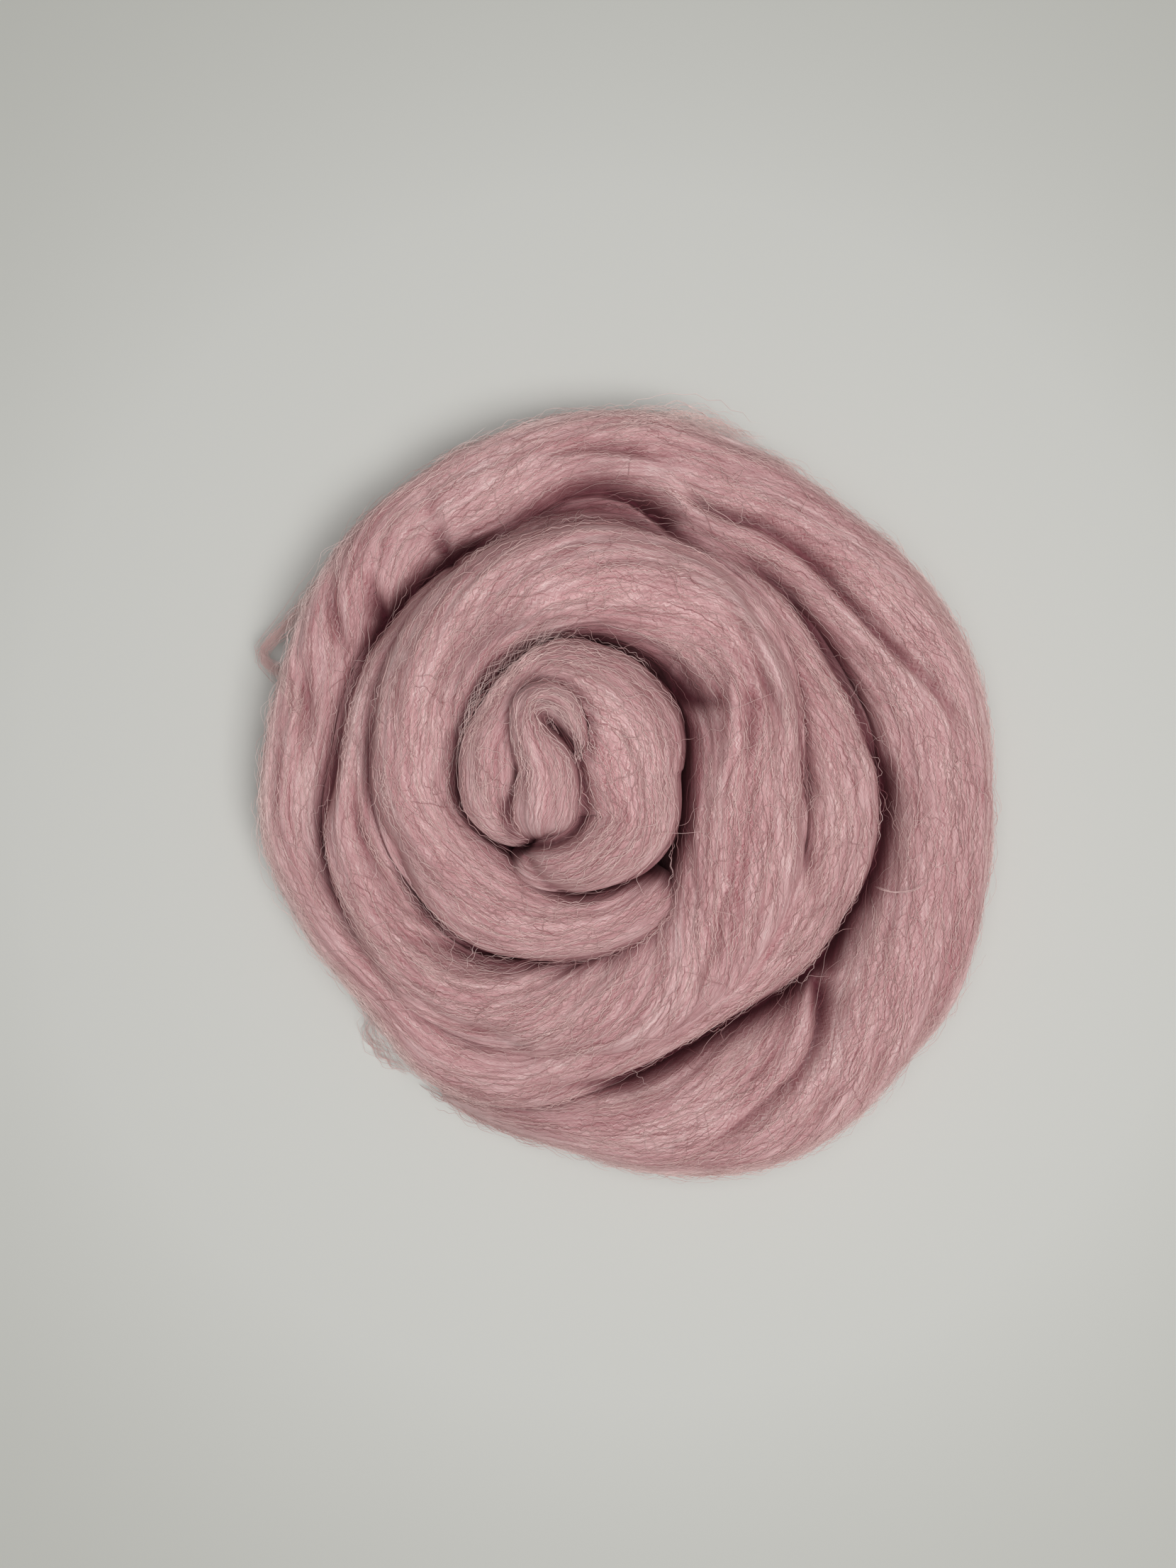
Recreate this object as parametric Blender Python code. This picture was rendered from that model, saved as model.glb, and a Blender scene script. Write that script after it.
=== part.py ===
"""A coil of combed wool roving: one soft strand, wound inwards in four turns and piled up to a crown.

The strand is one closed skin. A rounded section is carried along the strand's middle line, and each
row of SECTIONS says how wide and how high the strand is there and where its two plies part. Turns
that press into each other are then merged to one solid, and the side it rests on is cut flat.
Sizes in the table are millimetres, bearings are degrees counter-clockwise from +X about the eye.
"""

from collections import namedtuple

import bpy
import numpy as np

MM = 0.001

# A ply crease lies at part_at, from -1 at the side nearest the eye to 1 at the outer side.
Section = namedtuple("Section", "bearing reach half_width top part_at part_depth")

OUTER_TURN = (
    Section(250, 95, 6, 14, 0.0, 0),
    Section(260, 98, 8, 18, 0.0, 0),
    Section(270, 100, 10, 22, 0.0, 0),
    Section(285, 103, 17.5, 27, 0.5, 2),
    Section(300, 106, 23.5, 31, 0.1, 5),
    Section(312, 108, 23, 33, -0.1, 6),
    Section(323, 108.5, 22, 34, -0.6, 5),
    Section(333, 110.5, 21, 34, 0.0, 0),
    Section(345, 109.5, 19, 34, 0.0, 0),
    Section(0, 108.5, 18.5, 33, 0.5, 3),
    Section(15, 107.5, 19.5, 34, 0.1, 6),
    Section(30, 104, 18.5, 34, -0.2, 7),
    Section(45, 99.5, 17.5, 33, -0.1, 7),
    Section(60, 98, 18.5, 32, -0.3, 6),
    Section(75, 100, 15, 31, -0.1, 3),
    Section(90, 98, 13, 30, 0.1, 3),
    Section(105, 91, 16, 31, 0.0, 0),
    Section(117, 89, 14, 28, 0.0, 3),
    Section(128, 86, 14, 31, -0.2, 3),
    Section(141, 83, 13, 31, 0.0, 0),
    Section(155, 80.5, 12, 30, 0.0, 0),
    Section(172, 80, 11.5, 29, 0.0, 0),
    Section(190, 82, 10, 28, 0.0, 0),
    Section(210, 80.5, 9.5, 27, 0.0, 0),
    Section(228, 80, 10, 26, 0.0, 0),
    Section(245, 86, 11.5, 26, 0.3, 2),
)
SECOND_TURN = (
    Section(260, 86, 11, 27, 0.0, 0),
    Section(273, 79, 13, 29, 0.0, 0),
    Section(288, 73, 14, 31, 0.0, 0),
    Section(303, 71, 14, 33, 0.0, 0),
    Section(318, 74, 15, 34, 0.0, 0),
    Section(335, 77, 15, 34, 0.0, 0),
    Section(352, 79, 15, 33, 0.3, 2),
    Section(10, 77, 15.5, 32, 0.3, 2),
    Section(30, 75, 13, 30, 0.0, 0),
    Section(48, 75, 13, 28, 0.0, 0),
    Section(65, 76, 13, 25, 0.0, 0),
    Section(82, 76, 12, 23, 0.0, 0),
    Section(98, 70, 13, 24, 0.0, 0),
    Section(115, 65, 13, 28, 0.0, 0),
    Section(132, 63, 12, 31, 0.0, 0),
    Section(150, 62, 11, 32, 0.0, 0),
    Section(170, 61, 11, 33, 0.0, 0),
    Section(192, 63, 13, 34, 0.0, 0),
    Section(213, 64, 14, 34, 0.0, 0),
    Section(233, 66, 14, 36, 0.2, 3),
    Section(250, 66, 14, 38, 0.2, 3),
)
THIRD_TURN = (
    Section(267, 64, 15, 39, 0.0, 0),
    Section(284, 63, 16, 41, 0.0, 0),
    Section(300, 61, 17, 42, 0.0, 0),
    Section(315, 58, 18, 44, 0.0, 0),
    Section(330, 55, 19, 45, 0.0, 0),
    Section(346, 52, 20, 47, 0.0, 0),
    Section(2, 51, 19, 47, -0.1, 3),
    Section(17, 52, 19, 47, -0.1, 4),
    Section(32, 56, 19, 45, 0.1, 4),
    Section(47, 59.5, 18, 44, 0.2, 3),
    Section(62, 60.5, 17, 44, 0.0, 0),
    Section(80, 59.5, 16, 45, 0.0, 0),
    Section(97, 56.5, 15, 47, 0.0, 0),
    Section(114, 53, 16, 48, 0.0, 0),
    Section(131, 50, 16, 48, 0.0, 0),
    Section(148, 47, 15, 48, 0.0, 0),
    Section(165, 44, 15, 47, 0.0, 0),
    Section(182, 43, 14, 46, 0.0, 0),
    Section(200, 41, 14, 45, 0.0, 0),
    Section(220, 39, 14, 44, 0.0, 0),
    Section(240, 39, 14, 44, 0.0, 0),
    Section(260, 39, 12, 44, 0.0, 0),
    Section(278, 39, 11, 44, 0.0, 0),
    Section(292, 39, 10, 43, 0.0, 0),
    Section(306, 39, 9, 41, 0.0, 0),
    Section(318, 39, 8, 38, 0.0, 0),
)
TURN_UNDER_THE_CROWN = (
    Section(0, 36, 10, 33, 0.0, 0),
    Section(90, 32, 12, 32, 0.0, 0),
    Section(180, 30, 12, 34, 0.0, 0),
    Section(225, 28, 9, 38, 0.0, 0),
)
CROWN_RING = (
    Section(244, 23, 7, 46, 0.0, 0),
    Section(268, 20, 10, 52, 0.0, 0),
    Section(300, 19, 12, 55, 0.0, 0),
    Section(330, 18.5, 14.5, 56, 0.0, 0),
    Section(5, 19, 14.5, 57, 0.0, 0),
    Section(45, 23.5, 15, 57, 0.0, 0),
    Section(66, 26.5, 15, 57, 0.0, 0),
    Section(81, 28, 14, 57, 0.0, 0),
    Section(95, 29, 12, 56, 0.0, 0),
    Section(110, 26.5, 10, 55, 0.0, 0),
    Section(128, 24, 9, 55, 0.0, 0),
    Section(150, 22, 9, 55, 0.0, 0),
    Section(172, 21, 9, 55, 0.0, 0),
    Section(192, 21, 8.5, 53, 0.0, 0),
    Section(212, 20, 7, 50, 0.0, 0),
)
FOLDED_END = (
    Section(230, 18, 7, 47, 0.0, 0),
    Section(233, 11, 8, 52, 0.0, 0),
    Section(205, 6, 9, 57, 0.0, 0),
    Section(145, 7, 9, 58, 0.0, 0),
    Section(126, 13.5, 7.5, 59, 0.0, 0),
    Section(119, 19.5, 6, 60, 0.0, 0),
    Section(110, 24, 5, 60, 0.0, 0),
    Section(97, 24.5, 5, 60, 0.0, 0),
    Section(86, 21.5, 5, 60, 0.0, 0),
    Section(76, 17, 4, 59, 0.0, 0),
    Section(66, 12, 3, 57, 0.0, 0),
)
SECTIONS = OUTER_TURN + SECOND_TURN + THIRD_TURN + TURN_UNDER_THE_CROWN + CROWN_RING + FOLDED_END

STEP_ALONG = 4 * MM  # distance between the rings of the skin
POINTS_AROUND = 28
CROWN_ROUNDNESS = 2.1  # exponent of the section's curve above its widest level
SOLE_ROUNDNESS = 3.4  # squarer below, where the strand settles on the table
DOME_TO_HALF_WIDTH = 1.1  # height of the rounded top over the strand's half width
DOME_TO_TOP = 0.58
PART_WIDTH = 0.2  # half width of a ply crease, as a share of the strand's half width
SUNK_BELOW_TABLE = 3 * MM  # cut away again, so the resting face is flat
SPREAD_UNDER_NEXT_TURN = 12 * MM  # how far the sole squeezes inwards, so no hollow is left between turns

MERGE_VOXEL = 2.5 * MM
SKIN_SMOOTHING = 0.5
KEPT_TRIANGLES = 0.21

WOOL_COLOUR = (0.52, 0.31, 0.31, 1.0)  # dusty pink, linear
WOOL_ROUGHNESS = 0.9


def clear_scene():
    for obj in list(bpy.data.objects):
        bpy.data.objects.remove(obj, do_unlink=True)


def rows_along_strand(sections):
    """One row per section: x, y, half width, top, part_at and part depth, in metres but for part_at."""
    table = np.array(sections, float)
    bearing = np.radians(table[:, 0])
    reach = table[:, 1] * MM
    return np.column_stack(
        [
            reach * np.cos(bearing),
            reach * np.sin(bearing),
            table[:, 2] * MM,
            table[:, 3] * MM,
            table[:, 4],
            table[:, 5] * MM,
        ]
    )


def smooth_rows(rows, step):
    """The rows joined by Catmull-Rom curves, then read again at even steps along the strand."""
    before = np.vstack([2 * rows[0] - rows[1], rows[:-1]])
    after = np.vstack([rows[1:], 2 * rows[-1] - rows[-2]])
    slope = (after - before) / 2
    t = np.linspace(0, 1, 24, endpoint=False)[None, :, None]
    start, end = rows[:-1, None], rows[1:, None]
    curve = (
        (2 * t**3 - 3 * t**2 + 1) * start
        + (t**3 - 2 * t**2 + t) * slope[:-1, None]
        + (3 * t**2 - 2 * t**3) * end
        + (t**3 - t**2) * slope[1:, None]
    )
    dense = np.vstack([curve.reshape(-1, rows.shape[1]), rows[-1]])
    run = np.hypot(*np.diff(dense[:, :2], axis=0).T)
    length = np.concatenate([[0], np.cumsum(run)])
    wanted = np.linspace(0, length[-1], int(length[-1] / step) + 1)
    return np.column_stack([np.interp(wanted, length, column) for column in dense.T])


def section_rings(rows):
    """Rounded sections square to the middle line: a dome above the widest level, a fuller sole below it."""
    middle = rows[:, :2]
    half_width, top, part_at, part_depth = rows[:, 2:].T[:, :, None]
    along = np.gradient(middle, axis=0)
    along /= np.linalg.norm(along, axis=1, keepdims=True)
    outward = np.column_stack([along[:, 1], -along[:, 0]])
    angle = np.linspace(0, 2 * np.pi, POINTS_AROUND, endpoint=False)[None, :]
    upper = np.sin(angle) >= 0
    roundness = np.where(upper, CROWN_ROUNDNESS, SOLE_ROUNDNESS)
    across = np.sign(np.cos(angle)) * np.abs(np.cos(angle)) ** (2 / roundness)
    rise = np.abs(np.sin(angle)) ** (2 / roundness)
    dome = np.minimum(DOME_TO_HALF_WIDTH * half_width, DOME_TO_TOP * top)
    widest = top - dome
    crease = part_depth * np.exp(-(((across - part_at) / PART_WIDTH) ** 2))
    height = np.where(
        upper,
        widest + dome * rise - crease * rise,
        widest - (widest + SUNK_BELOW_TABLE) * rise,
    )
    inner_side = np.clip(-3 * across, 0, 1)
    sideways = across * half_width - SPREAD_UNDER_NEXT_TURN * inner_side * np.where(upper, 0, rise)
    return np.stack(
        [
            middle[:, :1] + outward[:, :1] * sideways,
            middle[:, 1:] + outward[:, 1:] * sideways,
            height,
        ],
        axis=-1,
    )


def skin_mesh(name, rings):
    """Rings joined by quads into a tube, each end closed by one face."""
    count, around, _ = rings.shape
    index = np.arange(count * around).reshape(count, around)
    ahead = np.roll(index, -1, axis=1)
    walls = np.stack([index[:-1], index[1:], ahead[1:], ahead[:-1]], axis=-1).reshape(-1, 4)
    faces = walls.tolist() + [index[0].tolist(), index[-1, ::-1].tolist()]
    mesh = bpy.data.meshes.new(name)
    mesh.from_pydata(rings.reshape(-1, 3).tolist(), [], faces)
    mesh.validate()
    return mesh


def centred_on_box(rings):
    """The rings moved sideways so that the middle of their outline is at the origin."""
    low, high = rings[..., :2].min(axis=(0, 1)), rings[..., :2].max(axis=(0, 1))
    moved = rings.copy()
    moved[..., :2] -= (low + high) / 2
    return moved


def wool_material():
    wool = bpy.data.materials.new("combed_wool")
    wool.use_nodes = True
    shader = wool.node_tree.nodes["Principled BSDF"]
    shader.inputs["Base Color"].default_value = WOOL_COLOUR
    shader.inputs["Roughness"].default_value = WOOL_ROUGHNESS
    shader.inputs["Metallic"].default_value = 0.0
    return wool


def table_cutter(size, depth):
    """A block whose top face is the table top, for cutting the resting face flat."""
    corners = np.array([(x, y, z) for x in (-1, 1) for y in (-1, 1) for z in (-1, 0)], float)
    mesh = bpy.data.meshes.new("table_cutter")
    faces = [(0, 1, 3, 2), (4, 6, 7, 5), (0, 4, 5, 1), (2, 3, 7, 6), (0, 2, 6, 4), (1, 5, 7, 3)]
    mesh.from_pydata((corners * (size, size, depth)).tolist(), [], faces)
    cutter = bpy.data.objects.new("table_cutter", mesh)
    bpy.context.collection.objects.link(cutter)
    cutter.hide_render = True
    cutter.display_type = "WIRE"
    return cutter


def roving_coil():
    rows = smooth_rows(rows_along_strand(SECTIONS), STEP_ALONG)
    rings = centred_on_box(section_rings(rows))
    mesh = skin_mesh("roving_coil", rings)
    mesh.materials.append(wool_material())
    coil = bpy.data.objects.new("roving_coil", mesh)
    bpy.context.collection.objects.link(coil)

    merge = coil.modifiers.new("merge_turns", "REMESH")
    merge.mode = "VOXEL"
    merge.voxel_size = MERGE_VOXEL
    merge.use_smooth_shade = True

    soften = coil.modifiers.new("soften_skin", "SMOOTH")
    soften.factor = SKIN_SMOOTHING
    soften.iterations = 2

    lighten = coil.modifiers.new("fewer_faces", "DECIMATE")
    lighten.ratio = KEPT_TRIANGLES

    flatten = coil.modifiers.new("flat_resting_face", "BOOLEAN")
    flatten.operation = "DIFFERENCE"
    flatten.solver = "EXACT"
    flatten.object = table_cutter(size=0.3, depth=0.05)
    return coil


clear_scene()
roving_coil()
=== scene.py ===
"""A coil of combed, dyed wool roving lying on a pale table, seen from straight above."""

import bpy
import numpy as np
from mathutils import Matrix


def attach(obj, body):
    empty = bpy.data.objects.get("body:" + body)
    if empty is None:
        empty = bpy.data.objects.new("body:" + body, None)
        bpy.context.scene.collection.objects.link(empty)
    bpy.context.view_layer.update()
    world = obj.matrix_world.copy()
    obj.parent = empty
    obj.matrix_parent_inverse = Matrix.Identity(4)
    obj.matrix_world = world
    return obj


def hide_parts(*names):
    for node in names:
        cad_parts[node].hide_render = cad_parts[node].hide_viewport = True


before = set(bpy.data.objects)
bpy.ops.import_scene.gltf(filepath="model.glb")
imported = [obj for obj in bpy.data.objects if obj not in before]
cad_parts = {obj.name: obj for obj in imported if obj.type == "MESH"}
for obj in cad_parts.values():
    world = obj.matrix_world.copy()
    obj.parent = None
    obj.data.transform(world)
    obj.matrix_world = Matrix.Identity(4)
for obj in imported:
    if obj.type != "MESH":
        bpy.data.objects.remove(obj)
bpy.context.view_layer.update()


# ---------------------------------------------------------------------------------------------
# The view: a phone held level above the table. Its main lens sees about 67 degrees along the
# picture's long side, and the coil fills two thirds of the short side.
# ---------------------------------------------------------------------------------------------
MM = 0.001
PHONE_AT = (-11.6 * MM, 3.2 * MM, 370 * MM)
LENS_MM = 27.04
SENSOR_MM = 36
NEAREST_SEEN = 10 * MM

phone = bpy.data.cameras.new("phone")
phone.lens = LENS_MM
phone.sensor_width = SENSOR_MM
phone.sensor_fit = "AUTO"
phone.clip_start = NEAREST_SEEN
camera = bpy.data.objects.new("phone", phone)
camera.location = PHONE_AT
bpy.context.collection.objects.link(camera)
bpy.context.scene.camera = camera
bpy.context.scene.view_settings.view_transform = "Standard"


# ---------------------------------------------------------------------------------------------
# The table top: matt white board, pale grey with a trace of yellow. It is lit by a broad, soft
# window from the near right, a soft lamp close above, and the bright room around it.
# ---------------------------------------------------------------------------------------------
def linear(hex_colour):
    """An sRGB hex colour as the linear red, green, blue and alpha that shaders take.

    The sRGB curve undone: a straight line near black and a power of 2.4 above it.
    """
    code = np.array([int(hex_colour[i : i + 2], 16) for i in (1, 3, 5)]) / 255
    low = code / 12.92
    high = ((code + 0.055) / 1.055) ** 2.4
    return (*np.where(code <= 0.04045, low, high), 1.0)


def add_node(tree, kind, settings=None, values=None, links=None):
    """One shader node with its settings, its sockets' values and the sockets that feed it."""
    node = tree.nodes.new(kind)
    for name, value in (settings or {}).items():
        setattr(node, name, value)
    for name, value in (values or {}).items():
        node.inputs[name].default_value = value
    for name, source in (links or {}).items():
        tree.links.new(source, node.inputs[name])
    return node


def colour_ramp(tree, value, *steps):
    """The colour that a value stands for, on straight lines between steps of place and colour."""
    ramp = add_node(tree, "ShaderNodeValToRGB", links={"Fac": value})
    elements = ramp.color_ramp.elements
    for element, (place, colour) in zip(elements, (steps[0], steps[-1])):
        element.position, element.color = place, linear(colour)
    for place, colour in steps[1:-1]:
        elements.new(place).color = linear(colour)
    return ramp.outputs["Color"]


BOARD_COLOUR = "#CECECA"
BOARD_PAINTED_FALLOFF_COLOUR = "#C2C2BC"
BOARD_ROUGHNESS = 0.85
BOARD_HALF_SIDE = 1.2
BOARD_CORNERS = ((-1, -1), (1, -1), (1, 1), (-1, 1))
LIT_PATCH = 0.42
EVENLY_LIT_FROM = 0.3

board_mesh = bpy.data.meshes.new("board")
board_mesh.from_pydata(
    [(x * BOARD_HALF_SIDE, y * BOARD_HALF_SIDE, 0) for x, y in BOARD_CORNERS], [], [(0, 1, 2, 3)]
)
board_paint = bpy.data.materials.new("matt_board")
board_paint.use_nodes = True
board_tree = board_paint.node_tree
board_shader = board_tree.nodes["Principled BSDF"]
# Painted shade: the board's colour is even in the middle and darkens slowly towards the corners of
# the picture, where the light falls off.
board_place = add_node(board_tree, "ShaderNodeTexCoord")
board_spread = add_node(
    board_tree,
    "ShaderNodeMapping",
    values={"Scale": (1 / LIT_PATCH,) * 3},
    links={"Vector": board_place.outputs["Object"]},
)
board_painted_falloff = add_node(
    board_tree,
    "ShaderNodeTexGradient",
    {"gradient_type": "QUADRATIC_SPHERE"},
    links={"Vector": board_spread.outputs["Vector"]},
)
board_painted_shade = colour_ramp(
    board_tree, board_painted_falloff.outputs["Fac"], (0, BOARD_PAINTED_FALLOFF_COLOUR), (EVENLY_LIT_FROM, BOARD_COLOUR)
)
board_tree.links.new(board_painted_shade, board_shader.inputs["Base Color"])
board_shader.inputs["Roughness"].default_value = BOARD_ROUGHNESS
board_mesh.materials.append(board_paint)
board = bpy.data.objects.new("board", board_mesh)
bpy.context.collection.objects.link(board)

WINDOW_SIDE = 1.3
WINDOW_AT = (1.3, -1.2, 2.9)
WINDOW_WATTS = 53
LAMP_SIDE = 0.3
LAMP_AT = (0, 0, 0.5)
LAMP_WATTS = 1.0
ROOM_COLOUR = "#FBFBF8"
ROOM_STRENGTH = 0.25


def soft_light(name, side, place, watts):
    """A square light, turned from its place towards the middle of the board."""
    light = bpy.data.lights.new(name, "AREA")
    light.shape = "SQUARE"
    light.size = side
    light.energy = watts
    hung = bpy.data.objects.new(name, light)
    hung.location = place
    hung.rotation_euler = (np.arctan2(-place[1], place[2]), np.arctan2(place[0], place[2]), 0)
    bpy.context.collection.objects.link(hung)


soft_light("window", WINDOW_SIDE, WINDOW_AT, WINDOW_WATTS)
soft_light("lamp", LAMP_SIDE, LAMP_AT, LAMP_WATTS)
room = bpy.data.worlds.new("room")
room.use_nodes = True
room.node_tree.nodes["Background"].inputs["Color"].default_value = linear(ROOM_COLOUR)
room.node_tree.nodes["Background"].inputs["Strength"].default_value = ROOM_STRENGTH
bpy.context.scene.world = room


# ---------------------------------------------------------------------------------------------
# The coil: one length of combed merino top, drawn out soft and flat as it comes off the comb and
# laid down by hand, counter-clockwise and inwards, from its teased outer end up to the crown,
# where its inner end is folded over. Only its weight and the cling of its fibres hold it.
# ---------------------------------------------------------------------------------------------

# The route follows the CAD's. A row of a turn says where the strand's middle line lies, as a
# bearing in degrees from +X and a reach in millimetres from the eye of the coil, then the half
# width and the height of the strand there, how far its crest leans, from -1 at the inner edge to
# 1 at the outer edge, and how many degrees its fibres lean inwards as they run.
OUTER_TURN = (
    # bearing, reach, half_width, top, crest, lay
    (247, 102, 3, 5, 0.0, 8),
    (257, 101, 6, 12, 0.0, 8),
    (269, 100, 10, 21, 0.0, 8),
    (285, 103, 17.5, 27, 0.1, 12),
    (300, 106, 23.5, 31, 0.1, 12),
    (312, 108, 23, 33, 0.0, 20),
    (323, 108.5, 22, 34, 0.0, 24),
    (333, 110.5, 21, 34, -0.1, 18),
    (345, 109.5, 19, 34, -0.1, 8),
    (0, 108.5, 18.5, 33, -0.1, 8),
    (15, 107.5, 19.5, 34, 0.0, 8),
    (30, 104, 18.5, 34, 0.0, 8),
    (45, 99.5, 17.5, 33, 0.0, 8),
    (60, 98, 18.5, 32, 0.0, 8),
    (75, 100, 15, 31, 0.0, 8),
    (90, 98, 13, 30, 0.0, 6),
    (105, 91, 16, 31, 0.0, 6),
    (117, 89, 14.5, 29, 0.0, 4),
    (128, 86, 14, 31, 0.1, 24),
    (141, 83, 13, 31, 0.1, 30),
    (155, 80.5, 12, 30, 0.0, 20),
    (172, 80, 11.5, 29, 0.0, 4),
    (190, 82, 10, 28, 0.0, 4),
    (210, 80.5, 9, 27, 0.0, 4),
    (228, 80, 10, 26, 0.0, 6),
    (245, 86, 11.5, 26, 0.0, 6),
)
SECOND_TURN = (
    (260, 86, 11, 27, 0.0, 6),
    (273, 79, 13, 29, 0.0, 6),
    (288, 73, 14, 31, 0.0, 6),
    (303, 71, 14, 33, 0.0, 6),
    (318, 74, 15, 34, 0.0, 8),
    (335, 77, 15, 34, 0.0, 8),
    (352, 79, 15, 33, 0.0, 8),
    (10, 77, 15.5, 32, 0.0, 8),
    (30, 75, 13, 30, 0.0, 8),
    (48, 75, 13, 29, 0.0, 6),
    (65, 76, 13, 28, 0.1, 6),
    (82, 76, 13, 27, 0.2, 6),
    (98, 70, 14, 27, 0.2, 6),
    (115, 65, 13, 29, 0.0, 6),
    (132, 63, 12, 31, 0.0, 6),
    (150, 62, 11, 32, 0.0, 6),
    (170, 61, 11, 33, 0.0, 6),
    (192, 63, 13, 34, 0.0, 6),
    (213, 64, 14, 34, 0.0, 8),
    (233, 66, 14, 36, 0.0, 10),
    (250, 66, 14, 38, 0.0, 20),
)
THIRD_TURN = (
    (267, 64, 15, 39, 0.0, 30),
    (284, 63, 16, 41, 0.0, 34),
    (300, 61, 17, 42, 0.0, 34),
    (315, 58, 18, 44, -0.2, 28),
    (330, 55, 19, 45, -0.2, 18),
    (346, 52, 20, 47, -0.1, 8),
    (2, 51, 19, 47, 0.0, 2),
    (17, 52, 19, 47, 0.2, 4),
    (32, 56, 19, 45, 0.2, 6),
    (47, 60, 19, 44, 0.0, 6),
    (62, 60.5, 18.5, 44, -0.2, 6),
    (80, 60.5, 18, 45, -0.4, 6),
    (97, 57.5, 17, 47, -0.4, 10),
    (114, 54, 17, 49, -0.4, 18),
    (131, 50, 17, 49, -0.2, 20),
    (148, 47, 16, 48, 0.0, 16),
    (165, 44, 15, 47, 0.1, 6),
    (182, 43, 14, 46, 0.1, 6),
    (200, 41, 14, 45, 0.0, 6),
    (220, 39, 15, 44, 0.0, 6),
    (240, 39, 15, 44, 0.0, 6),
    (260, 39, 12, 44, 0.0, 6),
    (278, 39, 11, 44, 0.0, 6),
    (292, 39, 10, 44, 0.0, 6),
    (304, 39, 10, 43, 0.0, 6),
    (313, 39, 9, 40, 0.0, 6),
    (320, 38, 5, 32, 0.0, 6),
)
TURNS = {"outer_turn": OUTER_TURN, "second_turn": SECOND_TURN, "third_turn": THIRD_TURN}

# A row of the crown says where its middle line lies in millimetres right of and up from the eye.
CROWN_RING = (
    # right, up, half_width, top, crest, lay
    (-15, -17, 3, 36, 0.0, 0),
    (-10, -20, 7, 47, 0.0, 4),
    (-1, -20, 10, 52, 0.0, 8),
    (9, -16, 13, 55, 0.0, 14),
    (15, -9, 16, 57, 0.1, 14),
    (13, 1, 20, 58, 0.2, 10),
    (11, 11, 23, 59, 0.2, 6),
    (8, 18, 22, 59, 0.1, 4),
    (4, 24, 18, 58, 0.0, 4),
    (-2, 28, 13, 56, 0.0, 4),
    (-9, 25, 10, 55, 0.0, 4),
    (-15, 19, 9, 55, 0.0, 4),
    (-19, 11, 10, 56, 0.0, 4),
    (-20, 3, 10, 56, 0.0, 4),
    (-20, -4, 9, 54, 0.0, 4),
    (-17, -10, 6, 51, 0.0, 4),
    (-12, -13, 4, 46, 0.0, 0),
    (-8, -13, 2, 40, 0.0, 0),
)
FOLDED_END = (
    (-7, -15, 3, 42, 0.0, 0),
    (-7, -12.5, 6.5, 51, 0.0, 0),
    (-6.5, -9, 9.5, 56, 0.0, 0),
    (-5.5, -3, 10.5, 59, 0.0, 0),
    (-5, 4, 10, 60.5, 0.0, 0),
    (-8, 11, 7.5, 61.5, 0.0, 0),
    (-10, 17, 5.5, 62, 0.0, 0),
    (-9.5, 21.5, 5, 62, 0.0, 0),
    (-6, 23.5, 5, 62, 0.0, 0),
    (-1, 21.5, 4.8, 62, 0.0, 0),
    (1.8, 17, 4, 61.5, 0.0, 0),
    (3.2, 13, 3.2, 60.5, 0.0, 0),
    (4, 9.5, 2.2, 58, 0.0, 0),
    (4.3, 7, 1, 50, 0.0, 0),
)

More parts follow.
